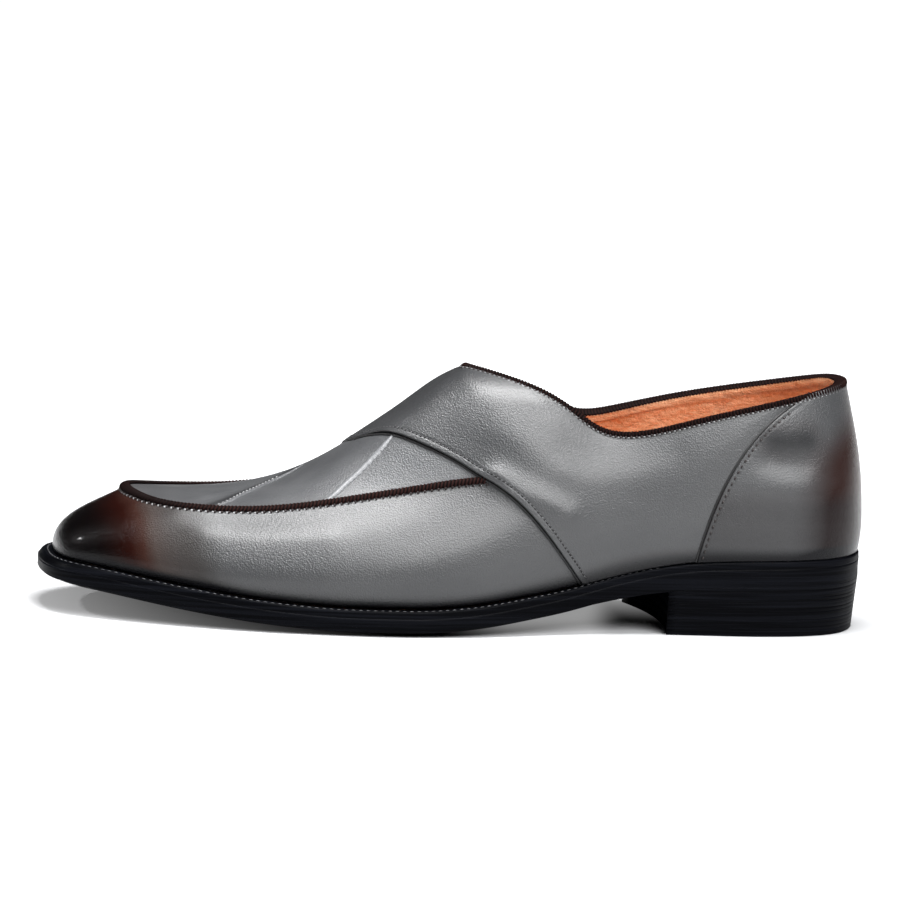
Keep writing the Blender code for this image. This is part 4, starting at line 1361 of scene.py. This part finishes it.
def paintShade(piece):
    spots = np.array([v.co for v in piece.data.vertices]) / mm
    above = spots[:, 2] - treadZ(spots[:, 0]) - last["soleDepth"]
    atWaist = bump((last["originP"] - spots[:, 0] - shadePaint["waistP"]) / shadePaint["waistRun"])
    high = shadePaint["high"] + shadePaint["waistHigh"] * atWaist
    # painted shade at the foot of the leather, above the welt
    dye = shadePaint["strength"] * (1 - soft(above / high, 0.1, 1)) ** 1.5
    if piece == upper:
        # painted shade in the hollow beside the front tuck
        shift = shadePaint["tuckShift"]
        line = [np.array(plan(p + shift, y + shift)) for p, y in tucks["pleat_front"]["plan"]]
        near = bump(gapToLine(spots[:, :2], line) / shadePaint["tuckWide"])
        dye += shadePaint["tuckStrength"] * near * (above > shadePaint["tuckAbove"])
    if piece == counter:  # painted shade in a patch above the dent, and low on the counter
        t, v = np.array(shadePaint["patch"]).T
        for side in (1, -1):
            patch = skin(side * t, v, counterCut["lift"])
            dye += shadePaint["patchStrength"] * bump(gapToLine(spots, patch) / shadePaint["patchWide"])
        dye += shadePaint["footStrength"] * (1 - soft(spots[:, 2], *shadePaint["footFade"]))
    paint(piece, "dye", dye)


for piece in (upper, panel, counter):
    paintShade(piece)
wear(makeLeather("grey burnished leather"), upper, panel, counter)
# each fold in a paler grey: a painted highlight on its crest
for (name, tuck), (fold, _) in zip(tucks.items(), pleats):
    wear(makeLeather(name.replace("_", " ") + " leather", tuck["pale"]), fold)
wear(makeTrim("brown braided cord", 0.85), apronCord)
wear(makeTrim("dark ribbed tape", 0.45), collarTape)
wear(makeTan("tan lining leather"), lining, insole)
wear(makeRubber("black sole rubber"), outsole, welt, heel)

# threads: light and dark of the twist, and the pieces sewn with it; also the painted shade of holes and
# edges, and the pale specks of painted glints
threads = {
    "grey thread": (rgb(0.11, 0.11, 0.114), rgb(0.06, 0.06, 0.062), panelStitches),
    "brown thread": (rgb(0.014, 0.008, 0.0075), rgb(0.006, 0.004, 0.004), counterStitches),
    "dark stitch hole": (rgb(0.006, 0.006, 0.007), rgb(0.003, 0.003, 0.003), [*panelHoles, *underEdges]),
    "dark thread": (rgb(0.014, 0.006, 0.0055), rgb(0.006, 0.003, 0.003), [apronStitches, collarStitches]),
    "black thread": (rgb(0.07, 0.07, 0.075), rgb(0.03, 0.03, 0.033), [weltStitches]),
    "pale thread": (rgb(0.55, 0.55, 0.56), rgb(0.32, 0.32, 0.33), [apronGlints]),
    "light grey thread": (rgb(0.30, 0.30, 0.305), rgb(0.14, 0.14, 0.144), [pleats[0][1], collarGlints]),
}
for name, (light, dark, pieces) in threads.items():
    wear(makeThread(name, light, dark), *pieces)
print("finishes ready")


# pale floor and studio light

studio = {"floor": 6.0, "white": rgb(0.54, 0.545, 0.555), "roughness": 0.9, "world": 0.025,
          "middle": (0.05, 0.03, 0.0), "near": 0.105, "far": 0.38,
          "arch": 0.3, "archDepth": (-0.06, 0.0), "archFront": (-0.01, 0.02),
          "heelFront": (0.045, 0.065), "heelShade": 0.05}
lamps = {
    "overhead": {"at": (0.0, -0.15, 1.25), "aim": (0.0, 0.0, 0.03), "size": (0.62, 0.46), "power": 28},
    "front": {"at": (0.55, -1.05, 1.15), "aim": (0.03, 0.0, 0.05), "size": (1.1, 0.95), "power": 32},
    "spark": {"at": (-0.75, 0.07, 0.52), "aim": (-0.13, -0.02, 0.03), "size": (0.05, 0.05), "power": 2.0},
}


def makeStage():
    half = studio["floor"]
    mesh = bpy.data.meshes.new("floor")
    corners = [(-half, -half, 0), (half, -half, 0), (half, half, 0), (-half, half, 0)]
    mesh.from_pydata(corners, [], [(0, 1, 2, 3)])
    floor = addToScene("floor", mesh)
    f = Finish("pale floor")
    x, y, _ = f.axes()
    # a glow painted on the floor under the arch, standing for light from behind; it is kept off beside the
    # heel
    beside = f.range(x, *studio["heelFront"], 0.0, studio["heelShade"])
    arch = f.range(y - beside, *studio["archDepth"], 0.0, studio["arch"]) * f.range(x, *studio["archFront"])
    # the floor glows more away from the shoe: white far off, and painted light that lightens the shadow round
    # the toe
    far = f.range(f.distance(studio["middle"]), studio["near"], studio["far"]).maths("MAXIMUM", arch)
    f.set(Base_Color=studio["white"], Roughness=studio["roughness"], Emission_Strength=1.0,
          Emission_Color=f.mix(far, rgb(0, 0, 0), rgb(1, 1, 1)))
    wear(f.material, floor)
    world = bpy.data.worlds.new("studio")
    bpy.context.scene.world = world
    world.use_nodes = True
    backdrop = world.node_tree.nodes["Background"].inputs
    backdrop["Color"].default_value = rgb(1, 1, 1)
    backdrop["Strength"].default_value = studio["world"]
    for name, lamp in lamps.items():
        data = bpy.data.lights.new(name, "AREA")
        data.shape = "RECTANGLE"
        data.size, data.size_y = lamp["size"]
        data.energy = lamp["power"]
        light = addToScene(name, data)
        aim = (Vector(lamp["aim"]) - Vector(lamp["at"])).to_track_quat("-Z", "Y")
        light.matrix_world = Matrix.Translation(lamp["at"]) @ aim.to_matrix().to_4x4()
    bpy.context.scene.view_settings.view_transform = "Standard"
    bpy.context.scene.view_settings.look = "None"


makeStage()
print("stage ready")
